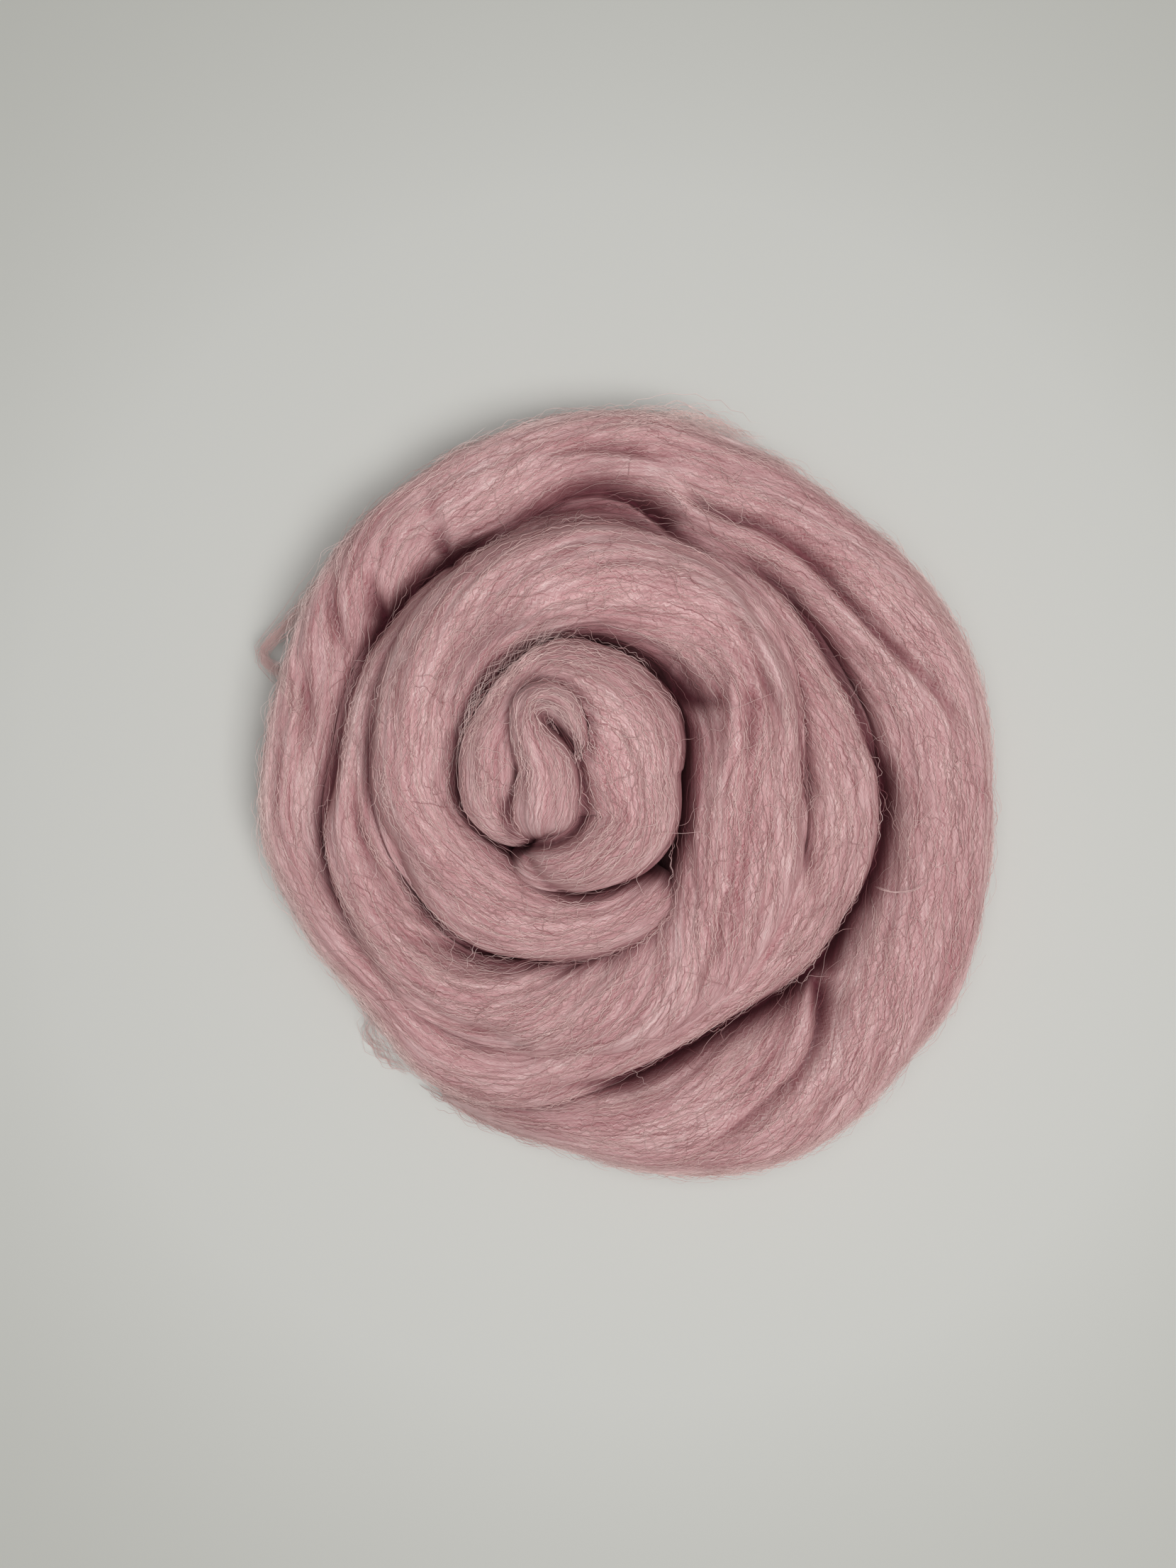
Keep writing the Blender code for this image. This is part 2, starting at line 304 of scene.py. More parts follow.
# Folds, pleats and fills of the strand, where its plies lie apart, stand up or are pushed
# together: places in millimetres right of and up from the eye, how far the wool is pressed down
# there, or raised where the depth is negative, and the half width of the trough or ridge.
FOLDS = (
    # right, up, depth, half_width
    # the deep part along the inside of the outer turn, from the bottom round to the right
    ((-14, -88, 1, 2), (0, -88, 5, 2), (18, -86, 9, 2.4), (39, -75, 9, 2.4), (55, -65, 9, 2.4),
     (70, -56, 10, 2.6), (76, -50, 10, 2.4), (82, -38, 7, 2), (87, -31, 6, 2), (91, -22, 7, 2),
     (93, -11, 7, 1.8), (93.5, -2, 9, 2.2), (92, 6, 7, 2), (88, 13, 6, 2), (83, 26, 6, 2),
     (77, 37, 6, 2), (71, 47, 5, 1.8), (64, 57, 5, 1.8), (55, 63, 3, 1.8), (45, 67, 2, 1.8),
     (38, 71, 3, 2), (31, 75, 8, 2.4), (27, 80, 13, 3), (21, 84.5, 13, 2.6)),
    # the same part over the top and down the left
    ((25, 82, 8, 2.4), (18, 86, 10, 2.6), (7, 88.5, 10, 2.6), (-6, 84, 6, 2), (-18, 75.5, 5, 2),
     (-34, 68, 8, 2.2), (-45, 59, 7, 2.2), (-50, 54, 10, 2.6), (-55, 48, 12, 3), (-60, 38, 7, 2.2),
     (-65, 24, 7, 2), (-68, 10, 10, 2.4), (-70, 0, 11, 2.6), (-72, -12, 7, 2.2), (-71, -25, 6, 2),
     (-66, -37, 5, 2), (-60, -48, 4, 2), (-52, -58, 2, 2)),
    # the long part between the two outer plies, from the top round to the right
    ((30, 90, 0, 3), (38, 83, 6, 2.2), (46, 79, 8, 2), (55, 76, 8, 2), (62, 72, 8, 2),
     (68, 68, 9, 2.2), (75, 61, 9, 2), (83, 52, 8, 1.8), (90, 44, 8, 1.8), (98, 36, 7, 1.8),
     (104, 30, 6, 1.8), (110, 22, 4, 1.8), (114, 12, 0, 3)),
    # the outer ply laid round the plump end of the inner one, bottom right
    ((72, -55, 9, 3.5), (74, -62, 12, 3.5), (72, -73, 8, 2.4), (67, -82, 6, 2), (59, -90, 6, 2),
     (51, -97, 5, 2), (43, -103, 3, 2), (35, -108, 1, 2)),
    ((88, -68, 0, 3), (90, -78, 4, 2.5), (89, -88, 3, 2.5)),
    ((78, -78, 0, 3), (74, -90, 3, 2.5), (68, -98, 2, 2.5)),
    # between the third turn and the second, down the right and down the left
    ((28, 67, 0, 3), (45, 62, 3, 3), (54, 48, 5, 2.5), (60, 40, 6, 2.5), (65, 30, 7, 2.5),
     (66, 20, 9, 2.5), (67, 10, 9, 2.5), (68, 0, 8, 2.5), (67, -10, 6, 2.5), (69, -20, 4, 2.5),
     (70, -30, 2, 2.5), (70, -38, 0, 3)),
    ((-45, 46, 0, 3), (-53, 31, 4, 2.5), (-55, 22, 6, 2.5), (-57, 10, 6, 2.5), (-57, 0, 6, 2.5),
     (-54, -9, 6, 2.5), (-49, -18, 8, 2.5), (-46, -26, 8, 2.5), (-42, -33, 5, 2.5),
     (-37, -40, 3, 2.5), (-33, -44, 0, 3)),
    # the broad hollow over the top, where the second turn shows low between its neighbours
    ((-36, 70, 0, 4), (-24, 76, 3, 4), (-10, 81, 6, 5), (2, 83, 7, 5.5), (12, 82, 7, 5.5),
     (20, 79, 7, 5), (28, 74, 4, 4), (38, 68, 1, 4)),
    # where the crown and the turn round it are pressed together and loose wool fills the gap
    ((-27, 18, 0, 3), (-24, 23, -4, 3.5), (-20, 28, -6, 4), (-16, 33, -6, 4), (-10, 37, -5, 3.5),
     (-5, 39.5, 0, 3)),
    ((-31, 14, 0, 4), (-30, 22, -4, 4), (-27, 29, -6, 4.5), (-22, 36, -7, 5), (-15, 41, -6, 5),
     (-8, 43, -3, 4), (-2, 43, 0, 4)),
    # pleats on the shoulder of the third turn: a thin part between two raised plies, and a
    # deeper one beside it
    ((34, 63, 0, 1.5), (42, 56, 3, 1.5), (48, 44, 4, 1.5), (52, 36, 4, 1.5), (55, 29, 5, 1.6),
     (58, 20, 3, 1.6), (59, 10, 0, 2)),
    ((46, 42, 0, 1.8), (49, 35, 3, 1.6), (50.5, 27, 5, 1.7), (50.5, 20, 5.5, 1.7),
     (50, 14, 4.5, 1.6), (49, 8, 3, 1.6), (48.5, 0, 2, 1.8), (48, -8, 0, 2)),
    ((26, 62, 0, 3), (36, 62, -2, 3), (45, 53, -3, 3), (53, 39, -4, 3), (59, 27, -4, 3),
     (63, 19, -4, 2.8), (64, 4, -2, 2.5), (63, -8, 0, 2.5)),
    ((42, 42, 0, 6), (47, 30, -3, 7), (47, 14, -3, 7), (46, 2, -2, 6), (44, -10, 0, 6)),
    ((36, 36, 0, 2), (42, 34, -2, 2.2), (45, 28, -5, 2.6), (45, 20, -5, 2.6), (44, 11, -4, 2.4),
     (43, -4, 0, 2)),
    # the deep part at the crown's upper right, running out into that shoulder
    ((26, 32, 8, 3), (31, 28, 13, 4), (36, 25, 9, 4), (42, 24, 4, 3), (47, 22, 0, 3)),
    # the crown: along its lower edge, where the tucked end comes out from under it
    ((-11, -20, 5, 1.8), (-8, -25, 6, 1.8), (-2, -29, 7, 1.8), (4, -30, 6, 1.8),
     (11, -28.5, 5, 1.8), (18, -26, 6, 1.8), (23, -23, 8, 2), (28, -19, 9, 2.2), (32, -12, 6, 2),
     (33, -4, 3, 1.8), (33, 4, 3, 1.8), (34, 12, 4, 1.8), (33, 20, 5, 2)),
    # the crown: over the top of the curl, where it lies on the ring
    ((-13.5, 22, 0, 1.2), (-10, 27, 2.5, 1.2), (-5.5, 29, 3, 1.2), (0, 27.5, 3.5, 1.2),
     (4, 23, 4, 1.3), (6, 17.5, 4.5, 1.3), (6.5, 12.5, 4.5, 1.3), (5.5, 8, 3, 1.4)),
    # the crown: round the folded end, under its plump base and up its left side
    ((-7, 19, 4, 1.4), (-5, 17, 6, 1.5), (-2, 15, 7, 1.6), (1, 12, 7, 1.6), (3, 8, 6, 1.6),
     (4, 3, 6, 1.6), (5, -2, 6, 1.7), (5, -7, 6, 1.7), (3, -11.5, 6, 1.7), (-1, -14.5, 6, 1.7),
     (-6, -16, 6, 1.7), (-11, -16.5, 8, 1.8), (-14, -18, 5, 2)),
    ((-14.5, 18, 0, 1.5), (-14.5, 12, 2, 1.5), (-13.5, 4, 4, 1.5), (-15, -2, 5, 1.6),
     (-16.5, -6, 6, 1.7), (-16, -11, 5, 1.8), (-14, -15, 3, 1.8)),
    # lengthwise folds down the right of the third turn
    ((46, -10, 0, 2), (44, -30, 3, 2), (40, -48, 3, 2), (34, -60, 0, 2)),
    ((58, -10, 0, 2), (56, -28, 2.5, 2), (51, -45, 2.5, 2), (44, -58, 0, 2)),
    ((50, 0, 0, 2), (49, -22, 2, 2), (45, -40, 2, 2), (38, -52, 0, 2)),
    # the waist, where the outer turn is pinched as it bends
    ((-35, 67, 10, 3), (-37, 71, 7, 2.2), (-38.5, 76, 4, 1.8), (-40.5, 82, 3, 1.6),
     (-42, 89, 1, 1.6)),
    # lengthwise folds down the left side
    ((-68, 68, 0, 2), (-69.5, 61, 4, 1.8), (-69, 55, 5, 1.8), (-67, 47, 5, 1.8),
     (-65.5, 40, 4, 1.8), (-65, 32, 0, 2)),
    ((-58, 63, 0, 2), (-57, 57, 7, 2.2), (-55, 50, 13, 3.5), (-57, 45, 5, 2.5)),
    ((-78, 39, 0, 2.5), (-77, 31, 5, 2.5), (-76, 22, 5, 2.5), (-77, 11, 2, 2.5), (-79, 0, 0, 2.5)),
    ((-62, 10, 1, 2.5), (-62, -4, 5, 2.5), (-59, -16, 6, 2.5), (-54, -26, 5, 2.5),
     (-47, -34, 2, 2.5), (-40, -41, 0, 3)),
    # shallow folds at the bottom left, where turns run together
    ((-53, -50, 0, 4), (-43, -61, 3, 3), (-34, -68, 6, 3), (-24, -71, 8, 3), (-18, -73, 5, 3),
     (-10, -75, 0, 3)),
    ((-48, -42, 0, 2.5), (-40, -44, 4, 2.5), (-32, -47, 5, 2.5), (-24, -50, 3, 2.5),
     (-16, -51, 0, 3)),
    # along the top
    ((-10, 96, 0, 2.5), (-4, 98, 3, 2), (6, 99, 5, 2), (18, 98, 5, 2), (26, 95, 3, 2),
     (34, 91, 0, 2)),
    ((28, 108, 0, 3), (38, 105, 4, 2.5), (50, 100, 4, 2.5), (62, 95, 0, 3)),
)

CURVE_STEPS = 24


def in_metres(table, by_bearing=False):
    """A table of rows as x, y, half width, top, crest and lay, with its lengths in metres.

    A bearing and a reach become x and y by the bearing's cosine and sine.
    """
    rows = np.array(table, float)
    if by_bearing:
        bearing, reach = np.radians(rows[:, 0]), rows[:, 1].copy()
        rows[:, 0], rows[:, 1] = reach * np.cos(bearing), reach * np.sin(bearing)
    rows[:, :4] *= MM
    return rows


def smooth_rows(rows, step):
    """The rows joined by Catmull-Rom curves, then read again at even steps along the strand.

    A curve is the cubic between two rows whose slope at each is half the way from the row before
    it to the row after it. Returns the rows, how far along the strand each lies, and the place of
    each given row.
    """
    before = np.vstack([2 * rows[0] - rows[1], rows[:-1]])
    after = np.vstack([rows[1:], 2 * rows[-1] - rows[-2]])
    slope = (after - before) / 2
    t = np.linspace(0, 1, CURVE_STEPS, endpoint=False)[None, :, None]
    start, end = rows[:-1, None], rows[1:, None]
    curve = (
        (2 * t**3 - 3 * t**2 + 1) * start
        + (t**3 - 2 * t**2 + t) * slope[:-1, None]
        + (3 * t**2 - 2 * t**3) * end
        + (t**3 - t**2) * slope[1:, None]
    )
    dense = np.vstack([curve.reshape(-1, rows.shape[1]), rows[-1]])
    run = np.hypot(*np.diff(dense[:, :2], axis=0).T)
    length = np.concatenate([[0], np.cumsum(run)])
    wanted = np.linspace(0, length[-1], int(length[-1] / step) + 1)
    even = np.column_stack([np.interp(wanted, length, column) for column in dense.T])
    return even, wanted, np.searchsorted(wanted, length[::CURVE_STEPS])


def rising(value, start, span):
    """0 up to the start, then evenly up to 1 over the span. Such a pair is kept under one name."""
    return np.clip((value - start) / span, 0, 1)


NOISE_REPEATS = 256
NOISE_UP_TO_ONE = 1.6


def blend_noise(along, across, seed):
    """Perlin noise, -1 to 1: random slopes at whole numbers, with smooth steps between them."""
    slopes = np.random.default_rng(seed).uniform(0, 2 * np.pi, (NOISE_REPEATS, NOISE_REPEATS))
    i, j = np.floor(along).astype(int), np.floor(across).astype(int)
    x, y = along - i, across - j

    def corner(di, dj):
        """The slope at one corner of the cell, times the way there from that corner."""
        angle = slopes[(i + di) % NOISE_REPEATS, (j + dj) % NOISE_REPEATS]
        return np.cos(angle) * (x - di) + np.sin(angle) * (y - dj)

    ease_x, ease_y = (part * part * part * (part * (6 * part - 15) + 10) for part in (x, y))
    near = corner(0, 0) * (1 - ease_x) + corner(1, 0) * ease_x
    far = corner(0, 1) * (1 - ease_x) + corner(1, 1) * ease_x
    return NOISE_UP_TO_ONE * (near * (1 - ease_y) + far * ease_y)


SHORTEST = 1e-12


def unit(vectors):
    """The vectors divided by their lengths, or by the shortest that counts where they have none."""
    return vectors / np.maximum(np.linalg.norm(vectors, axis=-1, keepdims=True), SHORTEST)


RING_STEP = 1.4 * MM
CROWN_RING_STEP = 0.9 * MM
POINTS_OVER_DOME = 97
POINTS_DOWN_INSIDE = 6
POINTS_DOWN_OUTSIDE = 12
DOME_ROUNDNESS = 2.4
SOLE_ROUNDNESS = 3.4
DOME_TO_HALF_WIDTH = 1.2
DOME_TO_TOP = 0.66
SPREAD_UNDER_NEXT_TURN = 12 * MM

# Angles round the section: over the dome from the outer side to the inner side, then under it.
angles = np.concatenate(
    [
        np.linspace(0, np.pi, POINTS_OVER_DOME),
        np.linspace(np.pi, 1.5 * np.pi, POINTS_DOWN_INSIDE + 1)[1:],
        np.linspace(1.5 * np.pi, 2 * np.pi, POINTS_DOWN_OUTSIDE + 1)[1:-1],
    ]
)[None, :]


def section_rings(route):
    """Rounded sections square to the middle line, as rings of points.

    Each is a superellipse with a dome above its widest level and a fuller sole below it, whose
    inner side is spread under the next turn. The crest shifts the dome aside, least at its edges.
    """
    middle = route[:, :2]
    half_width, top, crest = route[:, 2:5].T[:, :, None]
    along = unit(np.gradient(middle, axis=0))
    outward = np.column_stack([along[:, 1], -along[:, 0]])
    upper = np.sin(angles) >= 0
    roundness = np.where(upper, DOME_ROUNDNESS, SOLE_ROUNDNESS)
    across = np.sign(np.cos(angles)) * np.abs(np.cos(angles)) ** (2 / roundness)
    rise = np.abs(np.sin(angles)) ** (2 / roundness)
    dome = np.minimum(DOME_TO_HALF_WIDTH * half_width, DOME_TO_TOP * top)
    widest = top - dome
    height = np.where(upper, widest + dome * rise, widest * (1 - rise))
    lean = crest * (1 - np.abs(across)) * upper
    # 0 over the outer half, growing to 1 a third of the way from the middle to the inner edge.
    inner_side = np.clip(-3 * across, 0, 1)
    spread = SPREAD_UNDER_NEXT_TURN * inner_side * np.where(upper, 0, rise)
    sideways = (across + lean) * half_width - spread
    x, y = (middle[:, side, None] + outward[:, side, None] * sideways for side in (0, 1))
    return np.stack([x, y, height], axis=-1)


def outward_normals(rings):
    """Unit normals of a tube of rings, square to the slopes along and around it."""
    around = np.roll(rings, -1, axis=1) - np.roll(rings, 1, axis=1)
    return unit(np.cross(np.gradient(rings, axis=0), around))


TYPICAL_HALF_WIDTH = 14 * MM
SKIN_TO_HALF_WIDTH = 1.3
SOLE_HEIGHT = 8 * MM
WANDER = (2.5 * MM, 45 * MM, 14 * MM)
LOCKS = (
    # height, length, breadth
    (1.1 * MM, 60 * MM, 11 * MM),
    (0.65 * MM, 45 * MM, 4.3 * MM),
    (0.3 * MM, 26 * MM, 1.9 * MM),
)


def strand_skin(route, run_length, seed):
    """The skin of a strand and its map, as rings.

    Lengthwise locks stand out and sink in by a sum of noises stretched along the fibres, which
    wander a little aside and drift inwards by their lay as they run.
    """
    rings = section_rings(route)
    lay_shift = np.cumsum(np.tan(np.radians(route[:, 5])) * np.gradient(run_length))[:, None]
    across = (np.pi / 2 - angles) * TYPICAL_HALF_WIDTH * SKIN_TO_HALF_WIDTH + lay_shift
    along = run_length[:, None] + 0 * angles
    high, long, broad = WANDER
    wander = across + high * blend_noise(along / long, across / broad, seed)
    locks = sum(
        high * blend_noise(along / long, wander / broad, seed + number)
        for number, (high, long, broad) in enumerate(LOCKS, 1)
    )
    stiff_end = np.minimum(1, route[:, 2] / TYPICAL_HALF_WIDTH)[:, None]
    above_table = rising(rings[..., 2], 0, SOLE_HEIGHT)
    skin = rings + outward_normals(rings) * (locks * stiff_end * above_table)[..., None]
    return skin, np.stack([along, across], axis=-1)


# The coil seen from above, as maps in square cells: how high the wool lies, which way it runs and
# which piece it belongs to.
CELL = 1.0 * MM
CELLS = 270
HALF_MAP = CELLS / 2 * CELL
BETWEEN_RINGS = (0, 0.25, 0.5, 0.75)


def cell_of(x, y):
    """The row and column of the cell that each place in metres lies in."""
    return tuple(((place + HALF_MAP) / CELL).astype(int).clip(0, CELLS - 1) for place in (x, y))


def read_grid(grid, x, y):
    """Values of a map at places in metres, blended from the four cells around each."""
    i, j = ((place + HALF_MAP) / CELL - 0.5 for place in (x, y))
    i0, j0 = (np.floor(place).astype(int).clip(0, CELLS - 2) for place in (i, j))
    u, v = (i - i0).clip(0, 1), (j - j0).clip(0, 1)
    if grid.ndim == 3:
        u, v = u[..., None], v[..., None]
    return (
        grid[i0, j0] * (1 - u) * (1 - v)
        + grid[i0 + 1, j0] * u * (1 - v)
        + grid[i0, j0 + 1] * (1 - u) * v
        + grid[i0 + 1, j0 + 1] * u * v
    )


def seen_from_above(strands):
    """The maps of the wool's height, of its heading and of the piece that shows.

    The domes are filled in between their rings, and each cell keeps the highest point that falls
    into it, with the strand's direction there turned by its lay.
    """
    ground = np.zeros((CELLS, CELLS))
    heading = np.zeros((CELLS, CELLS, 2))
    owner = np.full((CELLS, CELLS), -1)
    for number, (skin, lay) in enumerate(strands):
        dome = skin[:, :POINTS_OVER_DOME]
        along_x, along_y = np.moveaxis(np.gradient(dome, axis=0)[..., :2], -1, 0)
        lean = np.radians(lay)[:, None]
        turned_x = along_x * np.cos(lean) - along_y * np.sin(lean)
        turned_y = along_x * np.sin(lean) + along_y * np.cos(lean)
        fields = np.concatenate([dome, np.stack([turned_x, turned_y], axis=-1)], axis=-1)
        fields = np.concatenate([fields[:-1] * (1 - t) + fields[1:] * t for t in BETWEEN_RINGS])
        fields = fields.reshape(-1, 5)
        fields = fields[np.argsort(fields[:, 2])]
        cells = cell_of(fields[:, 0], fields[:, 1])
        higher = fields[:, 2] > ground[cells]
        cells = tuple(side[higher] for side in cells)
        ground[cells] = fields[higher, 2]
        heading[cells] = unit(fields[higher, 3:5])
        owner[cells] = number
    # A cell that no point of the skin fell into takes after the cell beside it.
    for step in ((1, 0), (-1, 0), (0, 1), (0, -1)):
        beside = np.roll(ground, step, (0, 1))
        beyond = np.roll(ground, (-step[0], -step[1]), (0, 1))
        empty = (ground == 0) & (np.minimum(beside, beyond) > 0)
        ground[empty] = beside[empty]
        heading[empty] = np.roll(heading, step, (0, 1))[empty]
        owner[empty] = np.roll(owner, step, (0, 1))[empty]
    return ground, heading, owner


def blur(grid, sigma):
    """The map blurred by a bell curve, cut off at three times its own breadth."""
    reach = int(3 * sigma / CELL)
    bell = np.exp(-0.5 * (np.arange(-reach, reach + 1) * CELL / sigma) ** 2)
    bell /= bell.sum()
    grid = np.apply_along_axis(np.convolve, 0, grid, bell, "same")
    return np.apply_along_axis(np.convolve, 1, grid, bell, "same")


def skin_over(grid, radius, softness):
    """The map with all hollows narrower than a disc filled in, and then blurred.

    Each cell takes the highest value within the disc, and then the lowest of those.
    """
    reach = int(radius / CELL)
    square = [(i, j) for i in range(-reach, reach + 1) for j in range(-reach, reach + 1)]
    steps = [(i, j) for i, j in square if i * i + j * j <= reach * reach]
    highest = np.max([np.roll(grid, step, (0, 1)) for step in steps], axis=0)
    return blur(np.min([np.roll(highest, step, (0, 1)) for step in steps], axis=0), softness)


BARE_BELOW = 2 * MM
COVER_BLUR = 4 * MM
INSIDE_FROM = (0.75, 0.2)


def cover(grid):
    """The share of the cells around each one that hold wool."""
    return blur((grid > BARE_BELOW).astype(float), COVER_BLUR)


def well_inside(x, y):
    """0 near the outline and beyond it, 1 well inside it."""
    return rising(read_grid(covered, x, y), *INSIDE_FROM)


FOLD_STEP = 1.0 * MM
FOLD_SHARPNESS = 0.6
FOLD_REACHES = 3


def fold_depth(x, y):
    """How far the folds press the wool down at each place, or raise it if the depth is negative.

    Each place follows the nearest point of a fold: the depth there times exp(-r), where r is the
    distance in half widths to the power of 1.2, which makes the fold sharp at its bottom. Of all
    the folds the deepest trough counts, and the highest ridge is added to it.
    """
    depth = np.zeros_like(x)
    filled = np.zeros_like(x)
    for fold in FOLDS:
        even, _, _ = smooth_rows(np.array(fold, float) * MM, FOLD_STEP)
        nearest = np.full(x.shape, np.inf)
        found = np.zeros_like(x)
        reach = FOLD_REACHES * even[:, 3].max()
        near = (x > even[:, 0].min() - reach) & (x < even[:, 0].max() + reach)
        near &= (y > even[:, 1].min() - reach) & (y < even[:, 1].max() + reach)
        for at_x, at_y, deep, wide in even:
            gap = (x[near] - at_x) ** 2 + (y[near] - at_y) ** 2
            here = deep * np.exp(-((gap / wide**2) ** FOLD_SHARPNESS))
            found[near] = np.where(gap < nearest[near], here, found[near])
            nearest[near] = np.minimum(nearest[near], gap)
        depth = np.maximum(depth, found)
        filled = np.minimum(filled, found)
    return depth + filled


PRESSED_TOGETHER = 0.1
SHOWN_FROM = (-5 * MM, 4 * MM)
DEEPEST_FOLD = 0.6


def press(skin):
    """A strand's skin after the coil has settled.

    The hollows between neighbours are filled by a share of their depth where the skin shows, then
    the folds press the upper side down or raise it, by no more than a share of its height.
    """
    x, y, height = skin[..., 0], skin[..., 1], skin[..., 2]
    # Only the dome gives way, and less and less near its widest level.
    upper = np.clip(np.sin(angles) * 3, 0, 1)
    shown = rising(height - read_grid(ground, x, y), *SHOWN_FROM)
    hollow = np.maximum(read_grid(over_broad, x, y) - height, 0)
    pressed = skin.copy()
    pressed[..., 2] += PRESSED_TOGETHER * hollow * upper * shown * well_inside(x, y)
    folded = np.minimum(fold_depth(x - eye[0], y - eye[1]) * upper, DEEPEST_FOLD * pressed[..., 2])
    pressed[..., 2] = np.maximum(pressed[..., 2] - folded, 0)
    return pressed


NARROW_CREASE = (0.4 * MM, 6 * MM)
NARROW_SHARE = 0.45
BROAD_CREASE = (2.5 * MM, 12 * MM)
BROAD_SHARE = 0.65
# Painted light near the outline: where it starts and how far it takes to grow to its full share.
THIN_BELOW = 0.96
THIN_OVER = 0.32


def painted_crease_shade(points):
    """How deep each point lies in a crease, 0 to 1, which sets how much painted shade its colour
    takes.

    It is a sum of its depths under a skin over the narrow hollows and one over the broad ones.
    The outer wall stands open to the side, so however low it lies it is in no crease.
    """
    x, y, height = points[..., 0], points[..., 1], points[..., 2]
    narrow = rising(read_grid(over_narrow, x, y) - height, *NARROW_CREASE)
    broad = rising(read_grid(over_broad, x, y) - height, *BROAD_CREASE)
    return np.clip(NARROW_SHARE * narrow + BROAD_SHARE * broad, 0, 1) * well_inside(x, y)


def thin_edge_painted_light(points, facing_up):
    """How thin the wool is round each point, 0 to 1, which sets its painted light: how near the
    outline it is, where it faces up.

    The painted light stands for light that comes up through the thin wool from the pale table. The
    wall below the rim has the whole width of the strand behind it, so it isn't thin and takes none.
    """
    around = read_grid(covered, points[..., 0], points[..., 1])
    return np.clip((THIN_BELOW - around) / THIN_OVER, 0, 1) * facing_up


def mesh_of(name, points, loops, sizes):
    """A mesh from its points, its faces' corners in a row, and how many of them each face has."""
    mesh = bpy.data.meshes.new(name)
    mesh.vertices.add(points.size // 3)
    mesh.vertices.foreach_set("co", points.astype(np.float32).ravel())
    mesh.loops.add(len(loops))
    mesh.loops.foreach_set("vertex_index", loops.astype(np.int32))
    mesh.polygons.add(len(sizes))
    starts = np.concatenate([[0], np.cumsum(sizes)[:-1]])
    mesh.polygons.foreach_set("loop_start", starts.astype(np.int32))
    mesh.polygons.foreach_set("loop_total", sizes.astype(np.int32))
    return mesh


def add_map(mesh, name, places):
    """A flat map of the mesh: one place for each corner of each face."""
    mesh.uv_layers.new(name=name).data.foreach_set("uv", places.astype(np.float32).ravel())


def add_values(mesh, name, values):
    """A value for each point of the mesh, which its colour follows."""
    layer = mesh.attributes.new(name, "FLOAT", "POINT")
    layer.data.foreach_set("value", values.astype(np.float32).ravel())


WALLS_SHARE = 0.96
END_DISCS = ((0.02, 0.982), (0.06, 0.982))
END_DISC_RADIUS = 0.012
RIM_POWER = 0.7


def strand_mesh(name, points, uv):
    """A closed tube of quads from rings of points, with a face on each end.

    Its map is how far each corner lies along the strand and across it, in metres. A second map
    lays the tube out flat in the unit square, for baking, with its ends as two small discs.
    """
    count, around, _ = points.shape
    index = np.arange(count * around).reshape(count, around)
    ahead = np.roll(index, -1, axis=1)
    walls = np.stack([index[:-1], ahead[:-1], ahead[1:], index[1:]], axis=-1).reshape(-1, 4)
    loops = np.concatenate([walls.ravel(), index[0, ::-1], index[-1]])
    sizes = np.concatenate([np.full(len(walls), 4), [around, around]])
    mesh = mesh_of(name, points, loops, sizes)

    # The last column of quads runs on past the first angle, so the map doesn't jump back there.
    once_round = -2 * np.pi * TYPICAL_HALF_WIDTH * SKIN_TO_HALF_WIDTH
    wide = np.concatenate([uv, uv[:, :1] + [[[0, once_round]]]], axis=1)
    column = np.arange(around)
    ring = np.arange(count - 1)[:, None]
    corners = [wide[ring + i, column + j] for i, j in ((0, 0), (0, 1), (1, 1), (1, 0))]
    corners = np.stack(corners, axis=2).reshape(-1, 2)
    add_map(mesh, "along_and_across", np.concatenate([corners, uv[0, ::-1], uv[-1]]))

    here = np.stack(np.broadcast_arrays(ring / (count - 1), column / around), axis=-1)[:, :, None]
    one_quad = np.array([[0, 0], [0, 1], [1, 1], [1, 0]]) * np.array([1 / (count - 1), 1 / around])
    laid = (here + one_quad).reshape(-1, 2) * [1, WALLS_SHARE]
    round_end = 2 * np.pi * column / around
    disc = END_DISC_RADIUS * np.stack([np.cos(round_end), np.sin(round_end)], axis=-1)
    discs = [np.array(middle) + disc for middle in END_DISCS]
    add_map(mesh, "OFBake", np.concatenate([laid, *discs]))
    mesh.uv_layers["along_and_across"].active_render = True

    mesh.polygons.foreach_set("use_smooth", sizes == 4)
    facing_up = np.clip(outward_normals(points)[..., 2], 0, 1) ** RIM_POWER
    # Painted shade: the colour darkens with how deep the point lies in a crease.
    add_values(mesh, "painted_crease_shade", painted_crease_shade(points))
    # Painted light: the colour pales near the outline, the more the skin faces up.
    add_values(mesh, "thin_edge_painted_light", thin_edge_painted_light(points, facing_up))
    mesh.update()
    mesh.validate()
    return mesh


# Combed, dyed merino: matt, with a soft sheen from thousands of fine scales. The eye sees pale
# and deeper pink streaks that lie along the strand and crinkle with the wool's crimp.
WOOL_DEEP = "#A0666B"
WOOL_MID = "#CDA3A4"
WOOL_PALE = "#F1DAD7"
# Painted shade: the colour that the wool is mixed towards at the bottom of creases.
WOOL_PAINTED_CREASE_SHADE = "#5E2833"
